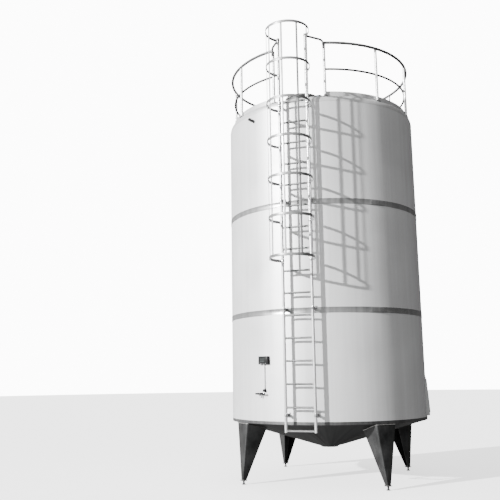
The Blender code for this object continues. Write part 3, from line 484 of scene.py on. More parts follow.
def moulded(name, colour, roughness, grain=420.0):
    """Moulded plastic or paint with fine orange peel and dust in the hollows."""
    n = new_material(name)
    fine = n.noise(n.position(), grain, 2.0)
    broad = n.noise(n.position(), 12.0, 4.0)
    mix = n.new("ShaderNodeMix", data_type="RGBA")
    mix.inputs["A"].default_value = (*colour, 1.0)
    mix.inputs["B"].default_value = (*[min(1.0, c * 1.25 + 0.006) for c in colour], 1.0)
    n.link(n.span(broad, 0.0, 1.0, 0.4, 0.75), mix.inputs["Factor"])
    n.colour(mix.outputs["Result"])
    n.roughness(n.span(broad, roughness - 0.07, roughness + 0.1))
    n.fixed("Specular IOR Level", 0.14)
    n.bump([(fine, 0.2, 0.0002)])
    return n.holder


def window_pane(name):
    """Dark tinted window."""
    n = new_material(name)
    broad = n.noise(n.position(), 30.0, 3.0)
    n.colour(n.grey(n.span(broad, 0.012, 0.018), (0.95, 1.0, 1.0)))
    n.roughness(n.span(broad, 0.22, 0.32))
    n.fixed("Specular IOR Level", 0.10)
    return n.holder


CLADDING = sheet_steel("cladding_sheet", 0.66, 0.42, 0.35)
ROOFING = sheet_steel("roof_sheet", 0.56, 0.44, 0.4, 0.06)
BAND = sheet_steel("band_sheet", 0.30, 0.30, 0.75, 0.10, 0.12)
TRIM_SHEET = sheet_steel("trim_sheet", 0.085, 0.40, 0.55, 0.03, 0.1)
# Painted shade: the cone skin and its seams are near black, standing in for the shade under the tank.
SHADED_CONE_SHEET = sheet_steel("cone_sheet", 0.055, 0.50, 0.55, 0.03)
COVER_SHEET = sheet_steel("cover_sheet", 0.30, 0.45, 0.5, 0.06)
# Painted shade: the manway collar and lid are darkened, standing in for the shade on their side away from the
# sun.
SHADED_MANWAY_SHEET = sheet_steel("manway_sheet", 0.16, 0.34, 0.7, 0.04, 0.1)
VESSEL = sheet_steel("vessel_plate", 0.58, 0.30, 0.9, 0.02, 0.1)
# Painted shade: the legs and their soles are near black, standing in for the shade under the tank.
SHADED_LEG_PLATE_STEEL = worked_steel("leg_plate", 0.024, 0.42, 0.4, 0.016)
POST_TUBE = worked_steel("post_tube", 0.72, 0.34, 0.4)
# Painted shade: the rungs are darker than the stringers' tube, standing in for their shaded undersides seen
# from below.
SHADED_RUNG_TUBE = worked_steel("rung_tube", 0.17, 0.36, 0.55)
PALE_TUBE = worked_steel("pale_tube", 0.55, 0.32, 0.55)
# Painted shade: the top rail, mid rail, grab tubes and rail welds are darkened far below the posts' tube,
# standing in for shaded undersides seen from below.
SHADED_RAIL_TUBE = worked_steel("rail_tube", 0.13, 0.36, 0.5, 0.03)
SHADED_MID_RAIL_TUBE = worked_steel("mid_rail_tube", 0.06, 0.38, 0.4, 0.02)
# Painted shade: the hoops are darkened, standing in for their shaded undersides seen from below; the ladder
# brackets, post feet and display buttons share this tone.
SHADED_HOOP_BAR = worked_steel("hoop_bar", 0.24, 0.38, 0.5, 0.05)
MACHINED = worked_steel("machined", 0.50, 0.24, 0.9, 0.05, 160.0, 0.15)
DARK_FITTING = worked_steel("dark_fitting", 0.05, 0.4, 0.5, 0.02)
WELD = weld_steel("weld")
BLACK = moulded("black_moulding", (0.005, 0.005, 0.006), 0.65)
READOUT = moulded("display_readout", (0.025, 0.028, 0.028), 0.6)
PAINT = moulded("motor_enamel", (0.13, 0.17, 0.20), 0.35)
RUBBER = moulded("seal_rubber", (0.55, 0.55, 0.52), 0.7)
FOAM = moulded("foam_skin", (0.70, 0.55, 0.28), 0.9, 120.0)
PANE = window_pane("display_window")


# ---------------------------------------------------------------- skins

def make_cladding():
    """Smooth courses with rolled edges and one riveted upright lap each, at the back."""
    lap_azimuths = {"lower_cladding": 168.0, "middle_cladding": 192.0, "upper_cladding": 168.0}
    for name, lap in lap_azimuths.items():
        low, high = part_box(name)
        inner = CLAD_RADIUS - SHEET
        edge = 0.0012
        outline = [
            (CLAD_RADIUS - edge, low.z), (CLAD_RADIUS, low.z + edge), (CLAD_RADIUS, high.z - edge),
            (CLAD_RADIUS - edge, high.z), (inner, high.z), (inner, low.z),
        ]
        lathe_piece(name + "_skin", outline, CLADDING, name)
        builder = bmesh.new()
        add_block(builder, (CLAD_RADIUS - 0.001, -0.030, low.z + 0.045),
                  (CLAD_RADIUS + 0.0022, 0.030, high.z - 0.045), around(lap), 0.0008)
        count = int((high.z - low.z) / 0.15)
        for index in range(count):
            height = low.z + 0.10 + (high.z - low.z - 0.20) * index / (count - 1)
            for side in (-0.018, 0.018):
                add_rivet(builder, lap, CLAD_RADIUS, height, side)
        piece(name + "_lap", builder, CLADDING)


def make_belts():
    """Flat bands with turned edges, each closed by a riveted butt strap."""
    for name, strap in (("lower_belt", 43.0), ("upper_belt", 45.5)):
        low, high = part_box(name)
        inner = CLAD_RADIUS + GAP
        edge = 0.0015
        outline = [
            (BELT_RADIUS - edge, low.z), (BELT_RADIUS, low.z + edge), (BELT_RADIUS, low.z + 0.006),
            (BELT_RADIUS - 0.0012, low.z + 0.009), (BELT_RADIUS - 0.0012, high.z - 0.009),
            (BELT_RADIUS, high.z - 0.006), (BELT_RADIUS, high.z - edge), (BELT_RADIUS - edge, high.z),
            (inner, high.z), (inner, low.z),
        ]
        lathe_piece(name + "_band", outline, BAND, name)
        builder = bmesh.new()
        height = (low.z + high.z) / 2
        for shift in (0.0, 180.0):
            path = arc_points(BELT_RADIUS + 0.0006, height, strap + shift - 4.2, strap + shift + 4.2, 0.7)
            add_sweep(builder, path, rounded_bar(0.003, high.z - low.z - 0.004))
            for angle in (-3.6, -1.2, 1.2, 3.6):
                for lift in (-0.024, 0.024):
                    add_rivet(builder, strap + shift + angle, BELT_RADIUS, height + lift)
        piece(name + "_straps", builder, BAND)


def make_bottom():
    """Trim ring, cone skin and the seams between its petals."""
    low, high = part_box("bottom_trim")
    outer = CLAD_RADIUS - 0.0005
    profile = [(outer, high.z), (outer, low.z + 0.010)]
    for step in range(6):
        turn = math.radians(90 * step / 5)
        profile.append((outer - 0.006 + 0.006 * math.cos(turn), low.z + 0.008 - 0.0075 * math.sin(turn)))
    profile.append((CONE_RADIUS + 0.001, low.z + 0.0002))
    profile += [(CONE_RADIUS + 0.001, low.z + 0.0022), (outer - 0.0055, low.z + 0.003),
                (outer - 0.0024, low.z + 0.010), (outer - 0.0024, high.z)]
    lathe_piece("bottom_trim_ring", profile, TRIM_SHEET, "bottom_trim")

    nose = 0.128
    path = [(0.0, CONE_LOW.z), (nose - 0.008, CONE_LOW.z), (nose + 0.006, cone_z(nose + 0.006)),
            (CONE_RADIUS, cone_z(CONE_RADIUS))]
    lathe_piece("cone_skin", shell(path, SHEET), SHADED_CONE_SHEET, "cone_cover")
    builder = bmesh.new()
    for index in range(8):
        azimuth = index * 45.0
        if abs(azimuth - 180.0) < 1.0:
            continue
        path = [at(azimuth, r, cone_z(r) - 0.0006) for r in (0.20, 0.55, 0.90, 1.10)]
        add_sweep(builder, path, rounded_bar(0.030, 0.003))
    piece("cone_seams", builder, SHADED_CONE_SHEET)


# ---------------------------------------------------------------- roof
ROOF_SEAM = 5.280
KNUCKLE_INSET = 0.060
KNUCKLE_HEIGHT = 0.095
KNUCKLE_TURN = math.radians(80.0)
ROOF_SLOPE = 0.1495
KNUCKLE_END_RADIUS = CLAD_RADIUS - KNUCKLE_INSET * (1 - math.cos(KNUCKLE_TURN))
KNUCKLE_END_Z = ROOF_SEAM + KNUCKLE_HEIGHT * math.sin(KNUCKLE_TURN)
HATCH_RADIUS = 0.1045
MANWAY_Y = AXIS_Y - 1.050
MANWAY_RADIUS = 0.230


def roof_z(radius):
    return KNUCKLE_END_Z + ROOF_SLOPE * (KNUCKLE_END_RADIUS - radius)


def cut_manway_hole(target):
    hole = bmesh.new()
    add_rod(hole, (AXIS_X, MANWAY_Y, 5.0), (AXIS_X, MANWAY_Y, 6.0), MANWAY_RADIUS + GAP, NECK_FACETS)
    cut_away(target, hole)


def make_roof():
    """Rolled shoulder and shallow cone, with raised seams between its petals."""
    path = []
    steps = 14
    for step in range(steps + 1):
        turn = KNUCKLE_TURN * step / steps
        radius = CLAD_RADIUS - KNUCKLE_INSET * (1 - math.cos(turn))
        path.append((radius, ROOF_SEAM + KNUCKLE_HEIGHT * math.sin(turn)))
    path.append((HATCH_RADIUS, roof_z(HATCH_RADIUS)))
    roof = lathe_piece("roof_skin", shell(path, SHEET), ROOFING, "roof_cover")
    cut_manway_hole(roof)
    builder = bmesh.new()
    for index in range(12):
        azimuth = 15.0 + index * 30.0
        if index == 11:
            continue
        points = [at(azimuth, r, roof_z(r) + 0.0004) for r in (0.16, 0.6, 1.0, 1.34)]
        add_sweep(builder, points, rounded_bar(0.016, 0.003))
    inner = HATCH_RADIUS + 0.002
    outer = HATCH_RADIUS + 0.040
    ring = [(inner, roof_z(HATCH_RADIUS)), (outer, roof_z(outer)), (outer, roof_z(outer) + 0.004),
            (inner, roof_z(HATCH_RADIUS) + 0.004)]
    add_lathe(builder, ring, 64)
    piece("roof_seams", builder, ROOFING)
    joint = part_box("upper_cladding")[1].z + 0.0005
    builder = bmesh.new()
    weld_path(builder, arc_points(CLAD_RADIUS - 0.0006, joint, 0.0, 357.0, 3.0), 0.0022, True)
    piece("roof_weld", builder, WELD)


# ---------------------------------------------------------------- inner vessel and drain pipe
VESSEL_RADIUS = 1.350
VESSEL_WALL = 0.004
INSULATION = 0.080
SUMP_RADIUS = 0.120
SUMP_FLOOR_Z = 0.4475
OUTLET_Z = 0.4925
OUTLET_RADIUS = 0.035
OUTLET_END = AXIS_Y + 0.600
COVER_AZIMUTH = 96.0
SIDE_MANWAY_Z = 1.080
SIDE_MANWAY_RADIUS = 0.120


def make_vessel():
    """Milk-holding shell, its side neck and the drain pipe that leaves the sump."""
    top_edge = VESSEL_RADIUS - 0.040
    lift = INSULATION + 0.005
    path = [
        (0.0, SUMP_FLOOR_Z), (SUMP_RADIUS, SUMP_FLOOR_Z), (SUMP_RADIUS, cone_z(SUMP_RADIUS) + lift),
        (VESSEL_RADIUS, cone_z(VESSEL_RADIUS) + lift), (VESSEL_RADIUS, ROOF_SEAM - 0.030),
        (top_edge, roof_z(top_edge) - INSULATION - SHEET),
        (HATCH_RADIUS - 0.002, roof_z(HATCH_RADIUS) - INSULATION - SHEET),
    ]
    vessel = lathe_piece("vessel_shell", shell(path, VESSEL_WALL), VESSEL, "inner_vessel",
                         NECK_FACETS)
    cut_manway_hole(vessel)
    builder = bmesh.new()
    add_tube(builder, at(COVER_AZIMUTH, VESSEL_RADIUS - 0.020, SIDE_MANWAY_Z),
             at(COVER_AZIMUTH, CLAD_RADIUS + 0.001, SIDE_MANWAY_Z), SIDE_MANWAY_RADIUS,
             SIDE_MANWAY_RADIUS - 0.004, 64)
    piece("side_manway_tube", builder, VESSEL)
    builder = bmesh.new()
    start = Vector((AXIS_X, AXIS_Y + SUMP_RADIUS - 0.002, OUTLET_Z))
    end = Vector((AXIS_X, OUTLET_END, OUTLET_Z))
    add_tube(builder, start, end, OUTLET_RADIUS, OUTLET_RADIUS - 0.002, 48)
    piece("outlet_pipe", builder, MACHINED)
    builder = bmesh.new()
    for distance in (-0.0125, -0.140):
        ring_at = end.y + distance
        add_lathe(builder, mm([(0.5, -6), (8, -6), (10, -2), (10, 2), (8, 6), (0.5, 6)], OUTLET_RADIUS), 48,
                  Matrix.Translation((AXIS_X, ring_at, OUTLET_Z)) @ Matrix.Rotation(QUARTER, 4, "X"))
    piece("outlet_ferrules", builder, MACHINED)
    place = facing_out(COVER_AZIMUTH, CLAD_RADIUS + 0.0016, SIDE_MANWAY_Z)
    builder = bmesh.new()
    add_lathe(builder, mm([(1, 0), (147, 0), (150, 1.2), (150, 4), (148, 5), (1, 5)]), 64, place)
    for x, y in circle(0.136, 8):
        seat = place @ Vector((x, y, 0.0048))
        add_bolt(builder, seat, place @ Vector((x, y, 0.0058)) - seat, 0.0075, 0.0038)
    piece("side_manway_disc", builder, MACHINED, "side_manway_plate")


# ---------------------------------------------------------------- legs and feet
LEG_AZIMUTHS = {"leg_1": -45.0, "leg_2": 45.0, "leg_3": 135.0, "leg_4": -135.0}
LEG_TIP_Z = 0.060
LEG_TOP = (1.428, 0.320, 0.300)
LEG_TIP = (1.440, 0.056, 0.056)
LEG_PLATE = 0.005


def channel_points(share, inset):
    """Rounded U of the folded leg: radius and side of each point, at a share of its height."""
    radius, width, depth = [a + (b - a) * share for a, b in zip(LEG_TIP, LEG_TOP)]
    fold = 0.010 + 0.016 * share - inset
    half = width / 2 - inset
    face = radius - inset
    back = radius - depth
    points = [(back, -half)]
    for step in range(7):
        turn = math.radians(90 * step / 6)
        points.append((face - fold + fold * math.sin(turn), -half + fold - fold * math.cos(turn)))
    for step in range(7):
        turn = math.radians(90 * step / 6)
        points.append((face - fold + fold * math.cos(turn), half - fold + fold * math.sin(turn)))
    points.append((back, half))
    return points


def make_legs():
    """Folded legs with their soles, nuts and welds, and the screw feet below them."""
    rim_z = CONE_RIM_Z - GAP
    levels = 12
    for index, (name, azimuth) in enumerate(LEG_AZIMUTHS.items()):
        place = around(azimuth)
        tops = channel_points(1.0, 0.0) + channel_points(1.0, LEG_PLATE)[::-1]
        heights = [min(cone_z(r), rim_z) - 2 * GAP for r, side in tops]
        builder = bmesh.new()
        rings = []
        for level in range(levels + 1):
            share = level / levels
            loop = channel_points(share, 0.0) + channel_points(share, LEG_PLATE)[::-1]
            rings.append([builder.verts.new(place @ Vector((r, side, LEG_TIP_Z + (top - LEG_TIP_Z) * share)))
                          for (r, side), top in zip(loop, heights)])
        join_rings(builder, rings)
        count = len(rings[0])
        for ring in (rings[0], rings[-1]):
            for step in range(count // 2 - 1):
                builder.faces.new((ring[step], ring[step + 1], ring[count - 2 - step],
                                   ring[count - 1 - step]))
        piece(name + "_plate", builder, SHADED_LEG_PLATE_STEEL, name)

        builder = bmesh.new()
        middle = LEG_TIP[0] - LEG_TIP[1] / 2
        add_block(builder, (middle - 0.0375, -0.0375, 0.052), (middle + 0.0375, 0.0375, 0.061), place, 0.002)
        sole = piece(name + "_sole", builder, SHADED_LEG_PLATE_STEEL)
        bore = bmesh.new()
        add_rod(bore, at(azimuth, middle, 0.02), at(azimuth, middle, 0.10), 0.0148, 32)
        cut_away(sole, bore)
        builder = bmesh.new()
        add_lathe(builder, mm([(15, 0), (23.5, 0), (25, 2), (25, 13), (23.5, 15), (15, 15)]), 6,
                  Matrix.Translation(at(azimuth, middle, 0.0615)))
        piece(name + "_nut", builder, MACHINED)

        builder = bmesh.new()
        edge = channel_points(1.0, -0.0015)[:-1]
        path = [place @ Vector((r, side, min(cone_z(r), rim_z) - 0.0045)) for r, side in edge]
        weld_path(builder, path, 0.0045)
        tip = channel_points(0.004, -0.0008)
        weld_path(builder, [place @ Vector((r, side, 0.0635)) for r, side in tip], 0.0022)
        piece(name + "_welds", builder, WELD)

        foot = f"foot_{index + 1}"
        pad = 0.026
        profile = [(0.0, 0.0), (pad - 0.002, 0.0), (pad, 0.002), (pad, 0.0075), (pad - 0.003, 0.0105),
                   (0.0165, 0.0135), (0.0140, 0.0140)]
        height = 0.0165
        while height < 0.126:
            profile += [(0.0140, height), (0.0126, height + 0.0015)]
            height += 0.003
        profile += [(0.0136, 0.1275), (0.0115, 0.1300), (0.0, 0.1300)]
        builder = bmesh.new()
        add_lathe(builder, profile, 24, Matrix.Translation(at(azimuth, middle, 0.0)))
        piece(foot + "_stem", builder, DARK_FITTING, foot, foot + "_screw")


# ---------------------------------------------------------------- ladder and cage
LADDER_Y = AXIS_Y - 1.5426
HALF_SPACING = 0.200
STRINGER_RADIUS = 0.020
STRINGER_TOP_Z = 6.260
RUNG_RADIUS = 0.014
FIRST_RUNG_Z = 0.770
RUNG_PITCH = 0.300
RUNGS = 16
KNURLS = 24                   # shallow rings along a rung
STAND_OFF_HEIGHTS = (0.970, 2.360, 3.860, 5.235)
BELT_HEIGHTS = (2.340, 3.833)
CAGE_RADIUS = 0.303
CAGE_OFFSET = 0.218
HOOP_TOP_Z = 6.225
HOOP_PITCH = (HOOP_TOP_Z - 3.010) / 6
STRIP = 0.005
POST_CIRCLE = 1.390
RAIL_CIRCLE = 1.395
TOP_RAIL_Z = 6.180
GATE_LEFT = -14.0
GATE_RIGHT = 17.5


def make_ladder():
    """Stringers, knurled rungs, wall brackets and the grab tubes at its head."""
    low = FIRST_RUNG_Z - STRINGER_RADIUS
    builder = bmesh.new()
    for sign in (-1, 1):
        x = AXIS_X + sign * HALF_SPACING
        add_rod(builder, (x, LADDER_Y, low), (x, LADDER_Y, STRINGER_TOP_Z), STRINGER_RADIUS, 28, 0.003)
    piece("ladder_stringers", builder, PALE_TUBE, "ladder")
    builder = bmesh.new()
    for index in range(RUNGS):
        height = FIRST_RUNG_Z + index * RUNG_PITCH
        reach = HALF_SPACING - STRINGER_RADIUS + 0.003
        add_rod(builder, (AXIS_X - reach, LADDER_Y, height), (AXIS_X + reach, LADDER_Y, height), RUNG_RADIUS,
                24)
        for step in range(1, KNURLS):
            x = AXIS_X - reach + 2 * reach * step / KNURLS
            collar(builder, (x, LADDER_Y, height), (1, 0, 0), RUNG_RADIUS + 0.0002, RUNG_RADIUS + 0.0008,
                   0.004)
    piece("ladder_rungs", builder, SHADED_RUNG_TUBE)
    builder = bmesh.new()
    for index in range(RUNGS):
        height = FIRST_RUNG_Z + index * RUNG_PITCH
        for sign in (-1, 1):
            x = AXIS_X + sign * (HALF_SPACING - STRINGER_RADIUS + 0.0005)
            collar(builder, (x, LADDER_Y, height), (1, 0, 0), RUNG_RADIUS, RUNG_RADIUS + 0.004, 0.010)
    piece("ladder_welds", builder, WELD)

    builder = bmesh.new()
    bolts = bmesh.new()
    for height in STAND_OFF_HEIGHTS:
        for sign in (-1, 1):
            x = sign * HALF_SPACING
            on_belt = any(abs(height - belt) < 0.06 for belt in BELT_HEIGHTS)
            skin = BELT_RADIUS if on_belt else CLAD_RADIUS
            wall = math.sqrt(skin ** 2 - HALF_SPACING ** 2)
            start = Vector((AXIS_X + x, LADDER_Y + 0.004, height))
            end = Vector((AXIS_X + x, AXIS_Y - wall + 0.001, height))
            add_sweep(builder, [start, end], rounded_bar(0.012, 0.040, 0.002))
            foot = around(math.degrees(math.asin(x / skin)))
            add_block(builder, (skin - 0.001, -0.030, height - 0.034), (skin + 0.004, 0.030, height + 0.034),
                      foot, 0.0012)
            for side in (-0.020, 0.020):
                for lift in (-0.024, 0.024):
                    seat = foot @ Vector((skin + 0.0035, side, height + lift))
                    top = foot @ Vector((skin + 0.0100, side, height + lift))
                    add_bolt(bolts, seat, top - seat, 0.0052, 0.0055)
            collar(bolts, (AXIS_X + x, LADDER_Y, height), (0, 0, 1), STRINGER_RADIUS - 0.0005,
                   STRINGER_RADIUS + 0.003, 0.050)
    piece("ladder_brackets", builder, SHADED_HOOP_BAR)
    piece("ladder_bracket_bolts", bolts, MACHINED)

    builder = bmesh.new()
    for sign, gate in ((-1, GATE_LEFT + 0.5), (1, GATE_RIGHT - 0.5)):
        head = Vector((AXIS_X + sign * HALF_SPACING, LADDER_Y, STRINGER_TOP_Z - 0.030))
        bend = at(gate, RAIL_CIRCLE + 0.042, TOP_RAIL_Z + 0.020)
        path = rounded_path([head, head.lerp(bend, 0.5), bend, bend + Vector((0, 0, -0.120))], 0.06, 8)
        add_sweep(builder, path, circle(0.016, 20))
        collar(builder, head, (0, 0, 1), STRINGER_RADIUS - 0.0005, STRINGER_RADIUS + 0.004, 0.050)
    piece("ladder_grabs", builder, SHADED_RAIL_TUBE)


def hoop_point(angle, radius, height):
    """Point about the cage's axis, the angle measured from straight out."""
    turn = math.radians(angle)
    y = LADDER_Y - CAGE_OFFSET - radius * math.cos(turn)
    return Vector((AXIS_X + radius * math.sin(turn), y, height))


# each upright bar of the cage and the way it faces, in degrees from straight out
CAGE_BARS = {
    "cage_bar_outer_left": -80.0,
    "cage_bar_left": -42.0,
    "cage_bar_centre": 0.0,
    "cage_bar_right": 42.0,
    "cage_bar_outer_right": 80.0,
}


def make_cage():
    """Hoops, the upright bars inside them, and their clamps and bolts."""
    end = 180.0 - math.degrees(math.acos((CAGE_OFFSET - 0.0115) / CAGE_RADIUS))
    clips = bmesh.new()
    facet = 2 * end / 20
    flat = (CAGE_RADIUS - STRIP / 2) * math.cos(math.radians(facet / 2))
    bar_radius = math.sqrt(flat ** 2 - 0.015 ** 2) - GAP
    for index in range(7):
        height = HOOP_TOP_Z - index * HOOP_PITCH
        builder = bmesh.new()
        path = [hoop_point(-end + 2 * end * k / 72, CAGE_RADIUS, height) for k in range(73)]
        add_sweep(builder, path, rounded_bar(STRIP, 0.040, 0.0018))
        piece(f"hoop_{index + 1}_bar", builder, SHADED_HOOP_BAR, f"hoop_{index + 1}")
        for sign in (-1, 1):
            x = AXIS_X + sign * HALF_SPACING
            collar(clips, (x, LADDER_Y, height), (0, 0, 1), STRINGER_RADIUS - 0.0005, STRINGER_RADIUS + 0.003,
                   0.048)
            seat = Vector((x + sign * (STRINGER_RADIUS + 0.002), LADDER_Y - 0.006, height))
            add_bolt(clips, seat, (sign, 0, 0), 0.0065, 0.0065)
        for angle in CAGE_BARS.values():
            seat = hoop_point(angle, bar_radius - STRIP + 0.0004, height)
            add_bolt(clips, seat, hoop_point(angle, 0.10, height) - seat, 0.006, 0.005)
            outer = hoop_point(angle, CAGE_RADIUS + STRIP / 2 - 0.0008, height)
            inward = outer - hoop_point(angle, 0.10, height)
            add_rod(clips, outer, outer + inward.normalized() * 0.0022, 0.006, 16, 0.0012)
    piece("cage_fixings", clips, MACHINED)
    for name, angle in CAGE_BARS.items():
        low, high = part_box(name)
        builder = bmesh.new()
        middle = hoop_point(angle, bar_radius - STRIP / 2, 0.0)
        place = Matrix.Translation(middle) @ Matrix.Rotation(math.radians(angle), 4, "Z")
        add_block(builder, (-0.015, -STRIP / 2, low.z), (0.015, STRIP / 2, high.z), place, 0.0016)
        piece(name + "_strip", builder, PALE_TUBE, name)


# ---------------------------------------------------------------- guard rail
POST_AZIMUTHS = (-85.0, -44.0, -14.0, 17.5, 51.0, 86.0, 134.0, 170.0, 206.0, 240.0)
POST_RADIUS = 0.020
MID_RADIUS = 0.0155
MID_RAIL_Z = 5.795
TOE_TOP_Z = 5.452
TOE_CIRCLE = 1.3692


def make_guard_rail():
    """Posts with their feet and welds, the two round rails and the toe board."""
    fixings = bmesh.new()
    welds = bmesh.new()
    tilt = math.atan2(0.0238, 0.058)
    for index, azimuth in enumerate(POST_AZIMUTHS):
        name = f"post_{index + 1}"
        low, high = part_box(name)
        builder = bmesh.new()
        add_rod(builder, at(azimuth, POST_CIRCLE, low.z + 0.001), at(azimuth, POST_CIRCLE, high.z),
                POST_RADIUS, 28)
        piece(name + "_tube", builder, POST_TUBE, name)
        knuckle_turn = math.acos(1 - (CLAD_RADIUS - POST_CIRCLE) / KNUCKLE_INSET)
        seat_z = ROOF_SEAM + KNUCKLE_HEIGHT * math.sin(knuckle_turn)
        place = (around(azimuth) @ Matrix.Translation((POST_CIRCLE, 0, seat_z))
                 @ Matrix.Rotation(tilt, 4, "Y"))
        add_block(fixings, (-0.030, -0.042, 0.0004), (0.030, 0.042, 0.0058), place, 0.0015)
        for side in (-0.032, 0.032):
            seat = place @ Vector((0.0, side, 0.0055))
            add_bolt(fixings, seat, place.to_3x3() @ Vector((0, 0, 1)), 0.0060, 0.0060)
        collar(welds, at(azimuth, POST_CIRCLE, seat_z + 0.008), (0, 0, 1), POST_RADIUS - 0.0005,
               POST_RADIUS + 0.004, 0.014)
        collar(welds, at(azimuth, POST_CIRCLE + 0.001, high.z - 0.003), (0, 0, 1), POST_RADIUS - 0.0005,
               POST_RADIUS + 0.003, 0.012)
        between = at(azimuth, POST_CIRCLE - POST_RADIUS, MID_RAIL_Z)
        outward = around(azimuth).to_3x3() @ Vector((1, 0, 0))
        add_rod(welds, between - outward * 0.005, between + outward * 0.004, 0.0095, 16, 0.002)
    piece("post_feet", fixings, SHADED_HOOP_BAR)
    piece("rail_welds", welds, SHADED_RAIL_TUBE)
    last = GATE_LEFT + 360.0
    for name, circle_radius, height, radius, surface in (
            ("top_rail", RAIL_CIRCLE, TOP_RAIL_Z, POST_RADIUS, SHADED_RAIL_TUBE),
            ("mid_rail", POST_CIRCLE - POST_RADIUS - MID_RADIUS - 0.001, MID_RAIL_Z, MID_RADIUS, SHADED_MID_RAIL_TUBE)):
        builder = bmesh.new()
        add_sweep(builder, arc_points(circle_radius, height, GATE_RIGHT, last, 1.5), circle(radius, 24))
        for azimuth, turn in ((GATE_RIGHT, -1), (last, 1)):
            centre = at(azimuth, circle_radius, height)
            along = around(azimuth).to_3x3() @ Vector((0, turn, 0))
            add_rod(builder, centre - along * 0.002, centre + along * 0.003, radius * 0.97, 24, radius * 0.15)
        piece(name + "_tube", builder, surface, name)

    builder = bmesh.new()
    low = roof_z(TOE_CIRCLE - 0.003) + 2 * GAP
    middle = (TOE_TOP_Z + low) / 2
    path = arc_points(TOE_CIRCLE - 0.0015, middle, GATE_RIGHT, last, 1.5)
    add_sweep(builder, path, rounded_bar(0.003, TOE_TOP_Z - low, 0.0012))
    path = arc_points(TOE_CIRCLE - 0.0035, TOE_TOP_Z - 0.003, GATE_RIGHT, last, 1.5)
    add_sweep(builder, path, rounded_bar(0.006, 0.006, 0.0022))
    for index in range(20):
        azimuth = GATE_RIGHT + 6 + index * 16.8
        place = around(azimuth)
        base = roof_z(TOE_CIRCLE - 0.03)
        add_block(builder, (TOE_CIRCLE - 0.038, -0.0015, base),
                  (TOE_CIRCLE - 0.003, 0.0015, TOE_TOP_Z - 0.010),
                  place, 0.0005)
    piece("toe_strip", builder, ROOFING, "toe_board")


# ---------------------------------------------------------------- roof manway
RIM_Z = 5.470
HINGE_X = AXIS_X - 0.268
HINGE_Z = 5.482
KNOB_X = AXIS_X + 0.268


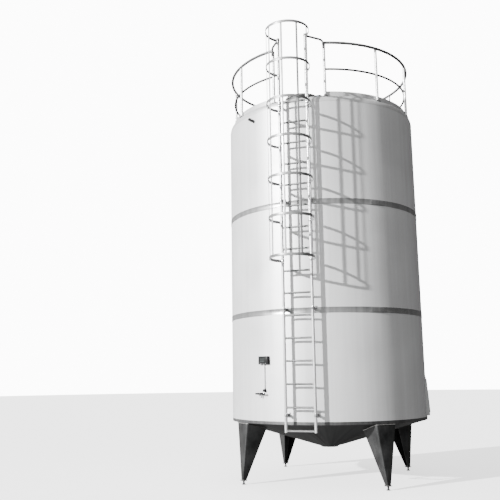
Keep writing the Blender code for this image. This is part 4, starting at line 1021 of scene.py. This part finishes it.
def make_manway():
    """Rolled collar and its welds, seal, domed lid with hinge and grip, and the hold-down knob."""
    place = Matrix.Translation((AXIS_X, MANWAY_Y, 0))
    inside = MANWAY_RADIUS - 0.003
    flange = MANWAY_RADIUS + 0.015
    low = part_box("manway_neck")[0]
    builder = bmesh.new()
    add_lathe(builder, [
        (MANWAY_RADIUS, low.z), (MANWAY_RADIUS, RIM_Z - 0.012), (MANWAY_RADIUS + 0.002, RIM_Z - 0.009),
        (flange - 0.002, RIM_Z - 0.008), (flange, RIM_Z - 0.006), (flange, RIM_Z - 0.002),
        (flange - 0.002, RIM_Z), (inside, RIM_Z), (inside, low.z)], NECK_FACETS, place)
    piece("manway_collar", builder, SHADED_MANWAY_SHEET, "manway_neck")
    builder = bmesh.new()
    local = Matrix.Translation((0, MANWAY_Y, 0))
    for y in (-0.031, 0.031):
        add_block(builder, (HINGE_X - 0.017, y - 0.004, RIM_Z - 0.030),
                  (AXIS_X - 0.2265, y + 0.004, RIM_Z - 0.0095), local, 0.001)
        add_block(builder, (HINGE_X - 0.017, y - 0.004, RIM_Z - 0.030),
                  (AXIS_X - 0.252, y + 0.004, RIM_Z + 0.024), local, 0.002)
        add_rod(builder, (HINGE_X, MANWAY_Y + y * 1.12, HINGE_Z), (HINGE_X, MANWAY_Y + y * 1.24, HINGE_Z),
                0.0085, 20, 0.0015)
    add_rod(builder, (HINGE_X, MANWAY_Y - 0.038, HINGE_Z), (HINGE_X, MANWAY_Y + 0.038, HINGE_Z), 0.006, 20)
    add_block(builder, (AXIS_X + 0.2285, -0.020, RIM_Z - 0.030), (KNOB_X + 0.017, 0.020, RIM_Z - 0.0155),
              local, 0.002)
    piece("manway_lugs", builder, MACHINED)
    builder = bmesh.new()
    path = []
    for x, y in [((MANWAY_RADIUS + 0.002) * math.cos(t),
                  (MANWAY_RADIUS + 0.002) * math.sin(t)) for t in turns(60)]:
        path.append((AXIS_X + x, MANWAY_Y + y, roof_z(math.hypot(x, MANWAY_Y - AXIS_Y + y)) + 0.003))
    weld_path(builder, path, 0.0045, True)
    piece("manway_weld", builder, WELD)

    builder = bmesh.new()
    seal_top = RIM_Z + 0.006
    add_lathe(builder, [(flange - 0.004, RIM_Z + GAP), (flange - 0.002, RIM_Z + 0.002),
                        (flange - 0.002, seal_top - 0.002),
                        (flange - 0.004, seal_top - GAP), (inside + 0.002, seal_top - GAP),
                        (inside + 0.001, seal_top - 0.002), (inside + 0.001, RIM_Z + GAP)], NECK_FACETS,
              place)
    piece("manway_seal", builder, RUBBER, "manway_gasket", "lid")

    builder = bmesh.new()
    dome = [(flange - 0.002, seal_top), (flange - 0.002, RIM_Z + 0.0165), (flange - 0.0035, RIM_Z + 0.0188),
            (flange - 0.010, RIM_Z + 0.021)]
    for step in range(1, 13):
        share = step / 12
        r = (flange - 0.010) * (1 - share)
        dome.append((r, RIM_Z + 0.021 + 0.028 * (1 - (1 - share) ** 2) ** 0.9))
    under = [(r, z - 0.003) for r, z in dome[3:][::-1]]
    add_lathe(builder, dome + under[:-1] + [(flange - 0.013, RIM_Z + 0.017), (flange - 0.013, seal_top)],
              NECK_FACETS, place)
    piece("manway_dome", builder, SHADED_MANWAY_SHEET, "manway_lid", "lid")
    builder = bmesh.new()
    add_block(builder, (HINGE_X + 0.010, -0.026, seal_top + 0.0005), (AXIS_X - 0.232, 0.026, RIM_Z + 0.017),
              local, 0.002)
    add_tube(builder, (HINGE_X, MANWAY_Y - 0.026, HINGE_Z), (HINGE_X, MANWAY_Y + 0.026, HINGE_Z), 0.0115,
             0.0066, 28)
    ear = bmesh.new()
    add_block(ear, (AXIS_X + 0.232, -0.022, seal_top + 0.0005), (KNOB_X + 0.018, 0.022, RIM_Z + 0.017), local,
              0.003)
    piece("manway_arm", builder, MACHINED, body="lid")
    fork = piece("manway_ear", ear, MACHINED, body="lid")
    bore = bmesh.new()
    add_rod(bore, (KNOB_X, MANWAY_Y, RIM_Z - 0.02), (KNOB_X, MANWAY_Y, RIM_Z + 0.06), 0.0068, 24)
    cut_away(fork, bore)
    handle = bmesh.new()
    top = RIM_Z + 0.0475
    corners = [(AXIS_X + 0.115, MANWAY_Y + y, z)
               for y, z in ((-0.055, RIM_Z + 0.036), (-0.055, top), (0.055, top), (0.055, RIM_Z + 0.036))]
    add_sweep(handle, rounded_path(corners, 0.010), circle(0.005, 16))
    piece("manway_grip", handle, MACHINED, body="lid")

    builder = bmesh.new()
    base = RIM_Z + 0.017 + GAP
    add_lathe(builder, [(0.0, RIM_Z - 0.0150), (0.0055, RIM_Z - 0.0150), (0.006, RIM_Z - 0.0140),
                        (0.006, base),
                        (0.013, base), (0.014, base + 0.002), (0.0150, base + 0.006), (0.0205, base + 0.009),
                        (0.022, base + 0.012), (0.022, base + 0.021), (0.0200, base + 0.026),
                        (0.016, base + 0.0295),
                        (0.0, base + 0.030)], 32, Matrix.Translation((KNOB_X, MANWAY_Y, 0)))
    for turn in turns(12):
        x = KNOB_X + 0.0212 * math.cos(turn)
        y = MANWAY_Y + 0.0212 * math.sin(turn)
        add_rod(builder, (x, y, base + 0.0125), (x, y, base + 0.0235), 0.0018, 8, 0.0006)
    piece("manway_wheel", builder, BLACK, "manway_knob", "lid_knob")


# ---------------------------------------------------------------- agitator
SEAT_Z = 5.600


def make_agitator():
    """Spool, gear motor with its fins and terminal box, bolts and cable gland."""
    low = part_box("agitator_motor")[0]
    builder = bmesh.new()
    add_lathe(builder, [(0.100, low.z), (0.100, SEAT_Z - 0.015), (0.103, SEAT_Z - 0.012),
                        (0.129, SEAT_Z - 0.012),
                        (0.130, SEAT_Z - 0.010), (0.130, SEAT_Z - 0.0006), (0.080, SEAT_Z - 0.0006),
                        (0.080, SEAT_Z - 0.012), (0.095, SEAT_Z - 0.012), (0.095, low.z)], 64)
    piece("agitator_spool", builder, MACHINED)
    builder = bmesh.new()
    gear = mm([(130, 0), (130, 10), (128, 12), (90, 14), (85, 20), (85, 60), (82, 64), (85, 68), (85, 112),
               (81, 120), (70, 134), (78, 140), (78, 146), (66, 148), (66, 290), (78, 292), (78, 328),
               (74, 338), (60, 349), (0, 350), (0, 60), (26.2, 60), (26.2, 0)], height=SEAT_Z)
    add_lathe(builder, gear, 64)
    for step in range(36):
        place = around(step * 10.0)
        if 75.0 < step * 10.0 < 105.0:
            continue
        add_block(builder, (0.064, -0.0012, SEAT_Z + 0.150), (0.0778, 0.0012, SEAT_Z + 0.288), place, 0.0004)
    add_block(builder, (0.062, -0.045, SEAT_Z + 0.190), (0.118, 0.045, SEAT_Z + 0.280), TANK, 0.004)
    add_block(builder, (0.1185, -0.044, SEAT_Z + 0.191), (0.125, 0.044, SEAT_Z + 0.279), TANK, 0.002)
    piece("agitator_gearmotor", builder, PAINT, "agitator_motor")
    builder = bmesh.new()
    for x, y in circle(0.113, 8):
        add_bolt(builder, TANK @ Vector((x, y, SEAT_Z + 0.0120)), (0, 0, 1), 0.0075, 0.0070)
    for side in (-0.036, 0.036):
        for lift in (0.200, 0.270):
            seat = TANK @ Vector((0.1235, side, SEAT_Z + lift))
            add_rod(builder, seat, seat + Vector((0.0014, 0, 0)), 0.0030, 12, 0.0006)
    piece("agitator_bolts", builder, MACHINED)
    builder = bmesh.new()
    add_pin(builder, TANK, (0.094, 0.0, SEAT_Z + 0.192), (0.094, 0.0, SEAT_Z + 0.170), 0.009, 6, 0.001)
    piece("agitator_gland", builder, BLACK)


# ---------------------------------------------------------------- instruments, valves and ports
DISPLAY_AZIMUTH = -22.6
DISPLAY_Z = 1.691
PROBE_Z = 1.285
SAMPLE_AZIMUTH = -24.5
SAMPLE_Z = 1.243
CONDUIT_CLIP_HEIGHTS = (1.36, 1.48, 1.60)
PORTS = {"cip_port": (-31.2, 5.215), "overflow_port": (-28.6, 5.172)}     # azimuth and height


def make_display():
    """Display box with its window and buttons, the conduit below it and the probe's head."""
    place = around(DISPLAY_AZIMUTH)
    back = CLAD_RADIUS + 0.001
    low_z = DISPLAY_Z - 0.055
    high_z = DISPLAY_Z + 0.055
    builder = bmesh.new()
    add_block(builder, (back, -0.085, low_z), (back + 0.040, 0.085, high_z), place, 0.005)
    case = piece("display_case", builder, BLACK, "display_box")
    recess = bmesh.new()
    add_block(recess, (back + 0.036, -0.067, low_z + 0.022), (back + 0.050, 0.067, high_z - 0.018), place,
              0.0015)
    cut_away(case, recess)
    builder = bmesh.new()
    add_block(builder, (back + 0.0364, -0.0665, low_z + 0.0225), (back + 0.0385, 0.0665, high_z - 0.0185),
              place, 0.0006)
    piece("display_pane", builder, PANE)
    builder = bmesh.new()
    add_block(builder, (back + 0.0386, -0.058, low_z + 0.030), (back + 0.0390, 0.020, low_z + 0.052), place,
              0.0001)
    for index in range(5):
        side = -0.056 + index * 0.016
        add_block(builder, (back + 0.0386, side, low_z + 0.060), (back + 0.0390, side + 0.012, low_z + 0.080),
                  place, 0.0001)
    piece("display_readout", builder, READOUT)
    builder = bmesh.new()
    for side in (-0.046, -0.018, 0.018, 0.046):
        seat = (back + 0.0395, side, low_z + 0.0115)
        add_pin(builder, place, seat, (seat[0] + 0.0009, *seat[1:]), 0.0048, 20, 0.0004)
    for side in (-0.077, 0.077):
        for height in (low_z + 0.009, high_z - 0.009):
            add_pin(builder, place, (back + 0.0392, side, height), (back + 0.0400, side, height), 0.0030, 12,
                    0.0003)
    piece("display_buttons", builder, SHADED_HOOP_BAR)

    line = CLAD_RADIUS + 0.014
    builder = bmesh.new()
    add_rod(builder, at(DISPLAY_AZIMUTH, line, PROBE_Z + 0.0225), at(DISPLAY_AZIMUTH, line, low_z - GAP),
            0.007, 20)
    piece("conduit_tube", builder, CLADDING)
    builder = bmesh.new()
    for height in CONDUIT_CLIP_HEIGHTS:
        add_block(builder, (CLAD_RADIUS - 0.0005, -0.018, height - 0.007),
                  (CLAD_RADIUS + 0.0025, 0.018, height + 0.007), place, 0.0008)
        collar(builder, at(DISPLAY_AZIMUTH, line, height), (0, 0, 1), 0.0068, 0.0092, 0.016)
    for height in (PROBE_Z + 0.0290, low_z - 0.008):
        add_rod(builder, at(DISPLAY_AZIMUTH, line, height - 0.0065),
                at(DISPLAY_AZIMUTH, line, height + 0.0065), 0.0105, 6, 0.001)
    piece("conduit_clips", builder, CLADDING)

    builder = bmesh.new()
    head = facing_out(DISPLAY_AZIMUTH, CLAD_RADIUS, PROBE_Z)
    add_lathe(builder, mm([(1, 1), (20, 1), (20, 4), (16.5, 5.5), (16.5, 14), (19.5, 15.5), (20, 17.5),
                           (20, 30), (18.5, 33), (12, 34), (1, 34)]), 40, head)
    for x, y in [(0.0195 * math.cos(angle), 0.0195 * math.sin(angle)) for angle in turns(16)]:
        add_pin(builder, head, (x, y, 0.018), (x, y, 0.029), 0.0010, 6)
    piece("probe_head", builder, BLACK, "temperature_probe")


def make_sample_valve():
    """Small valve with a spout down and a bar handle across it."""
    place = around(SAMPLE_AZIMUTH)
    turn = facing_out(SAMPLE_AZIMUTH, CLAD_RADIUS, SAMPLE_Z)
    builder = bmesh.new()
    add_lathe(builder, mm([(1, 0.5), (19, 1), (19, 4), (14, 6), (13.5, 12), (18, 15), (19, 18), (19, 34),
                           (17.5, 38), (13, 40), (13, 45), (1, 45)]), 40, turn)
    spout = at(SAMPLE_AZIMUTH, CLAD_RADIUS + 0.026, SAMPLE_Z)
    add_rod(builder, spout + Vector((0, 0, -0.012)), spout + Vector((0, 0, -0.048)), 0.0080, 24)
    add_tube(builder, spout + Vector((0, 0, -0.047)), spout + Vector((0, 0, -0.055)), 0.0090, 0.0065, 24)
    piece("sample_body", builder, MACHINED, "sample_valve")
    near = CLAD_RADIUS + 0.045 + GAP
    builder = bmesh.new()
    add_block(builder, (near + 0.004, -0.0875, SAMPLE_Z - 0.009), (near + 0.012, 0.0875, SAMPLE_Z + 0.009),
              place, 0.003)
    for first, last in ((-0.0865, -0.018), (0.018, 0.0865)):
        add_pin(builder, place, (near + 0.008, first, SAMPLE_Z), (near + 0.008, last, SAMPLE_Z), 0.0118, 24,
                0.004)
    hub = facing_out(SAMPLE_AZIMUTH, near, SAMPLE_Z)
    add_lathe(builder, mm([(1, 0), (11.5, 0), (12, 1), (12, 13.5), (10.5, 15.7), (1, 16)]), 32, hub)
    piece("sample_bar", builder, BLACK, "sample_lever", "sample_handle")


def make_ports():
    """Two open stubs high on the left; a line and spray ball go inward from one."""
    start = VESSEL_RADIUS - 0.012
    end = CLAD_RADIUS + 0.034
    for name, (azimuth, height) in PORTS.items():
        builder = bmesh.new()
        add_tube(builder, at(azimuth, start, height), at(azimuth, end, height), 0.0205, 0.0175, 40)
        add_tube(builder, at(azimuth, end - 0.008, height), at(azimuth, end, height), 0.0225, 0.0178, 40)
        add_tube(builder, at(azimuth, CLAD_RADIUS - 0.001, height), at(azimuth, CLAD_RADIUS + 0.003, height),
                 0.0222, 0.0200, 40)
        piece(name + "_stub", builder, DARK_FITTING, name)
    builder = bmesh.new()
    azimuth, height = PORTS["cip_port"]
    add_rod(builder, at(azimuth, VESSEL_RADIUS - 0.60, height), at(azimuth, start + 0.004, height), 0.017, 24)
    bmesh.ops.create_uvsphere(builder, u_segments=32, v_segments=20, radius=0.040,
                              matrix=Matrix.Translation(at(azimuth, VESSEL_RADIUS - 0.62, height)))
    piece("cip_line", builder, MACHINED)


def make_outlet():
    """Drain valve at the back, its disc and stem turning with the lever."""
    start = OUTLET_END + GAP
    middle = start + 0.030
    boss_top = OUTLET_Z + 0.075
    turn = Matrix.Translation((AXIS_X, start, OUTLET_Z)) @ Matrix.Rotation(-QUARTER, 4, "X")
    builder = bmesh.new()
    add_lathe(builder, mm([(33, 0), (45.5, 0), (46, 1.5), (46, 6), (43, 9), (42.5, 20), (44.5, 23), (46, 26),
                           (46, 34), (44.5, 37), (42.5, 40), (43, 51), (46, 54), (46, 58.5), (45.5, 60),
                           (33, 60)]), 64, turn)
    add_tube(builder, (AXIS_X, middle, OUTLET_Z + 0.034), (AXIS_X, middle, boss_top), 0.0130, 0.0068, 32)
    add_lathe(builder, mm([(7, 0), (16.5, 0), (17.5, 1), (17.5, 5), (16.5, 6), (7, 6)]), 32,
              Matrix.Translation((AXIS_X, middle, boss_top - 0.0065)))
    piece("outlet_body", builder, MACHINED, "outlet_valve")
    builder = bmesh.new()
    add_block(builder, (-0.018, -0.010, boss_top + GAP), (0.150, 0.010, boss_top + 0.0078),
              Matrix.Translation((AXIS_X, middle, 0)), 0.002)
    add_rod(builder, (AXIS_X, middle, OUTLET_Z), (AXIS_X, middle, boss_top + 0.004), 0.0060, 24)
    add_lathe(builder, mm([(0, -3), (30, -2.2), (31.5, -1), (31.5, 1), (30, 2.2), (0, 3)]), 48,
              Matrix.Translation((AXIS_X, middle, OUTLET_Z)) @ Matrix.Rotation(-QUARTER, 4, "X"))
    piece("outlet_bar", builder, MACHINED, "outlet_lever", "outlet_handle")


# ---------------------------------------------------------------- side cover
COVER_TOP_Z = 1.436
COVER_BOTTOM_Z = 0.900
COVER_REACH = 0.038
COVER_HINGE_RADIUS = 1.444
COVER_HINGE_Z = 1.437


def add_prism(builder, outline, low, high, place):
    """Block with an (x, z) outline between two y."""
    near = [builder.verts.new(place @ Vector((x, low, z))) for x, z in outline]
    far = [builder.verts.new(place @ Vector((x, high, z))) for x, z in outline]
    builder.faces.new(near)
    builder.faces.new(far[::-1])
    join_rings(builder, [near, far])


def make_side_cover():
    """Sloping sheet door, hemmed round its edges and hung from a strip hinge."""
    place = around(COVER_AZIMUTH)
    outer = CLAD_RADIUS + COVER_REACH
    top_radius = CLAD_RADIUS + 0.0065
    back = CLAD_RADIUS - 0.050
    low = COVER_BOTTOM_Z
    shape = [(back, low), (outer - 0.012, low)]
    for step in range(1, 6):
        turn = math.radians(90 * step / 5)
        shape.append((outer - 0.012 + 0.012 * math.sin(turn), low + 0.016 - 0.016 * math.cos(turn)))
    shape += [(top_radius, COVER_TOP_Z), (back, COVER_TOP_Z)]
    inner = [(back - 0.01, low + 0.003), (outer - 0.014, low + 0.003), (outer - 0.003, low + 0.020),
             (top_radius - 0.003, COVER_TOP_Z - 0.008), (back - 0.01, COVER_TOP_Z - 0.008)]
    builder = bmesh.new()
    add_prism(builder, shape, -0.240, 0.240, place)
    door = piece("side_door", builder, COVER_SHEET, "side_cover", "side_cover_door")
    hollow = bmesh.new()
    add_prism(hollow, inner, -0.237, 0.237, place)
    cut_away(door, hollow)
    tank = bmesh.new()
    add_lathe(tank, [(0.0, 0.5), (CLAD_RADIUS + 0.0012, 0.5), (CLAD_RADIUS + 0.0012, 2.0), (0.0, 2.0)],
              SKIN_FACETS)
    cut_away(door, tank)
    slope = (outer - top_radius) / (COVER_TOP_Z - low - 0.016)

    def face(side, height, proud=0.0):
        return place @ Vector((top_radius + slope * (COVER_TOP_Z - height) + proud, side, height))

    builder = bmesh.new()
    for side in (-0.205, 0.205):
        add_sweep(builder, [face(side, 1.405, 0.0006), face(side, 0.945, 0.0006)], rounded_bar(0.016, 0.0035))
    for height in (1.405, 0.945):
        ends = [face(-0.205, height, 0.0006), face(0.205, height, 0.0006)]
        add_sweep(builder, ends, rounded_bar(0.0035, 0.016))
    piece("side_door_swages", builder, COVER_SHEET, body="side_cover_door")
    builder = bmesh.new()
    hinge = [(-0.200, -0.122), (-0.118, -0.042), (-0.038, 0.038), (0.042, 0.118), (0.122, 0.200)]
    for first, last in hinge:
        add_rod(builder, at(COVER_AZIMUTH, COVER_HINGE_RADIUS, COVER_HINGE_Z, first),
                at(COVER_AZIMUTH, COVER_HINGE_RADIUS, COVER_HINGE_Z, last), 0.005, 20, 0.0006)
    add_rod(builder, at(COVER_AZIMUTH, COVER_HINGE_RADIUS, COVER_HINGE_Z, -0.200),
            at(COVER_AZIMUTH, COVER_HINGE_RADIUS, COVER_HINGE_Z, 0.200), 0.0032, 12)
    piece("side_door_hinge", builder, MACHINED, body="side_cover_door")
    builder = bmesh.new()
    for side in (-0.150, 0.150):
        seat = face(side, 0.975, 0.0)
        outward = place.to_3x3() @ Vector((1, 0, 0.08))
        add_rod(builder, seat, seat + outward * 0.0030, 0.016, 28, 0.001)
        add_rod(builder, seat + outward * 0.002, seat + outward * 0.0060, 0.009, 24, 0.001)
        slot_place = place @ Matrix.Translation((top_radius + slope * (COVER_TOP_Z - 0.975) + 0.0055, side,
                                                 0.975))
        add_block(builder, (0.0, -0.0012, -0.0065), (0.0022, 0.0012, 0.0065), slot_place, 0.0003)
    piece("side_door_latches", builder, MACHINED, body="side_cover_door")


# ---------------------------------------------------------------- stage, light and camera
WHITE = (1.0, 1.0, 1.0, 1.0)
SUN_STRENGTH = 13.0
SUN_AZIMUTH = -38.5
SUN_ELEVATION = 19.5
SUN_DISC = 1.0
SKY_BRIGHT_SIDE = (-0.74, -0.62, 0.26)
SKY_DIM = 0.16
SKY_BRIGHT = 1.3
BACKDROP_STRENGTH = 12.0
FLOOR_GLOW = 1.6
CAMERA_DISTANCE = 10.792
CAMERA_AZIMUTH = 0.2362
CAMERA_HEIGHT = 1.476
CAMERA_YAW = 0.1066
CAMERA_PITCH = 0.1793
CAMERA_ROLL = -0.0132
CAMERA_LENS = 50.24


def make_stage():
    """Pale ground, one low sun from the front left, and a dim sky that the camera sees as white."""
    builder = bmesh.new()
    bmesh.ops.create_circle(builder, cap_ends=True, segments=96, radius=60.0)
    mesh = bpy.data.meshes.new("floor")
    builder.to_mesh(mesh)
    builder.free()
    ground = new_material("floor_plain")
    speck = ground.noise(ground.position(), 3.0, 4.0)
    ground.colour(ground.grey(ground.span(speck, 0.93, 0.96)))
    ground.fixed("Roughness", 0.9)
    ground.fixed("Emission Color", WHITE)
    ground.fixed("Emission Strength", FLOOR_GLOW)
    mesh.materials.append(ground.holder)
    floor = bpy.data.objects.new("floor", mesh)
    bpy.context.scene.collection.objects.link(floor)
    floor.location.z = -0.0005
    floor.visible_diffuse = False
    floor.visible_glossy = False

    sun = bpy.data.lights.new("sun", "SUN")
    sun.energy = SUN_STRENGTH
    sun.angle = math.radians(SUN_DISC)
    lamp = bpy.data.objects.new("sun", sun)
    turn = math.radians(SUN_AZIMUTH)
    rise = math.radians(SUN_ELEVATION)
    toward = Vector((math.sin(turn) * math.cos(rise), -math.cos(turn) * math.cos(rise), math.sin(rise)))
    lamp.rotation_euler = toward.to_track_quat("Z", "Y").to_euler()
    bpy.context.scene.collection.objects.link(lamp)

    world = bpy.data.worlds.new("sky")
    bpy.context.scene.world = world
    sky = Nodes(world)
    lean = sky.new("ShaderNodeVectorMath", operation="DOT_PRODUCT")
    lean.inputs[1].default_value = SKY_BRIGHT_SIDE
    sky.link(sky.new("ShaderNodeTexCoord").outputs["Generated"], lean.inputs[0])
    dim = sky.tree.nodes["Background"]
    dim.inputs["Color"].default_value = WHITE
    sky.link(sky.span(lean.outputs["Value"], SKY_DIM, SKY_BRIGHT, -0.6, 0.9), dim.inputs["Strength"])
    bright = sky.new("ShaderNodeBackground")
    bright.inputs["Color"].default_value = WHITE
    bright.inputs["Strength"].default_value = BACKDROP_STRENGTH
    mix = sky.new("ShaderNodeMixShader")
    sky.link(sky.new("ShaderNodeLightPath").outputs["Is Camera Ray"], mix.inputs["Fac"])
    sky.link(dim.outputs[0], mix.inputs[1])
    sky.link(bright.outputs[0], mix.inputs[2])
    sky.link(mix.outputs[0], sky.tree.nodes["World Output"].inputs["Surface"])


def make_camera():
    """Standing eye at the front right, looking up a little."""
    lens = bpy.data.cameras.new("camera")
    lens.lens = CAMERA_LENS
    lens.sensor_width = 36.0
    lens.clip_end = 200.0
    camera = bpy.data.objects.new("camera", lens)
    heading = CAMERA_AZIMUTH + CAMERA_YAW
    level = Vector((-math.sin(heading), math.cos(heading), 0.0))
    level_right = Vector((math.cos(heading), math.sin(heading), 0.0))
    rise = Vector((0.0, 0.0, 1.0))
    forward = level * math.cos(CAMERA_PITCH) + rise * math.sin(CAMERA_PITCH)
    tilt = rise * math.cos(CAMERA_PITCH) - level * math.sin(CAMERA_PITCH)
    right = level_right * math.cos(CAMERA_ROLL) + tilt * math.sin(CAMERA_ROLL)
    up = tilt * math.cos(CAMERA_ROLL) - level_right * math.sin(CAMERA_ROLL)
    place = Matrix((right, up, -forward)).transposed().to_4x4()
    place.translation = Vector((
        AXIS_X + CAMERA_DISTANCE * math.sin(CAMERA_AZIMUTH),
        AXIS_Y - CAMERA_DISTANCE * math.cos(CAMERA_AZIMUTH), CAMERA_HEIGHT))
    camera.matrix_world = place
    bpy.context.scene.collection.objects.link(camera)
    bpy.context.scene.camera = camera


make_cladding()
make_belts()
make_bottom()
make_roof()
make_vessel()
make_legs()
make_ladder()
make_cage()
make_guard_rail()
make_manway()
make_agitator()
make_display()
make_sample_valve()
make_ports()
make_outlet()
make_side_cover()
for kept, surface in (("foam_insulation", FOAM), ("agitator_shaft", VESSEL)):
    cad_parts[kept].data.materials[0] = surface
make_stage()
make_camera()
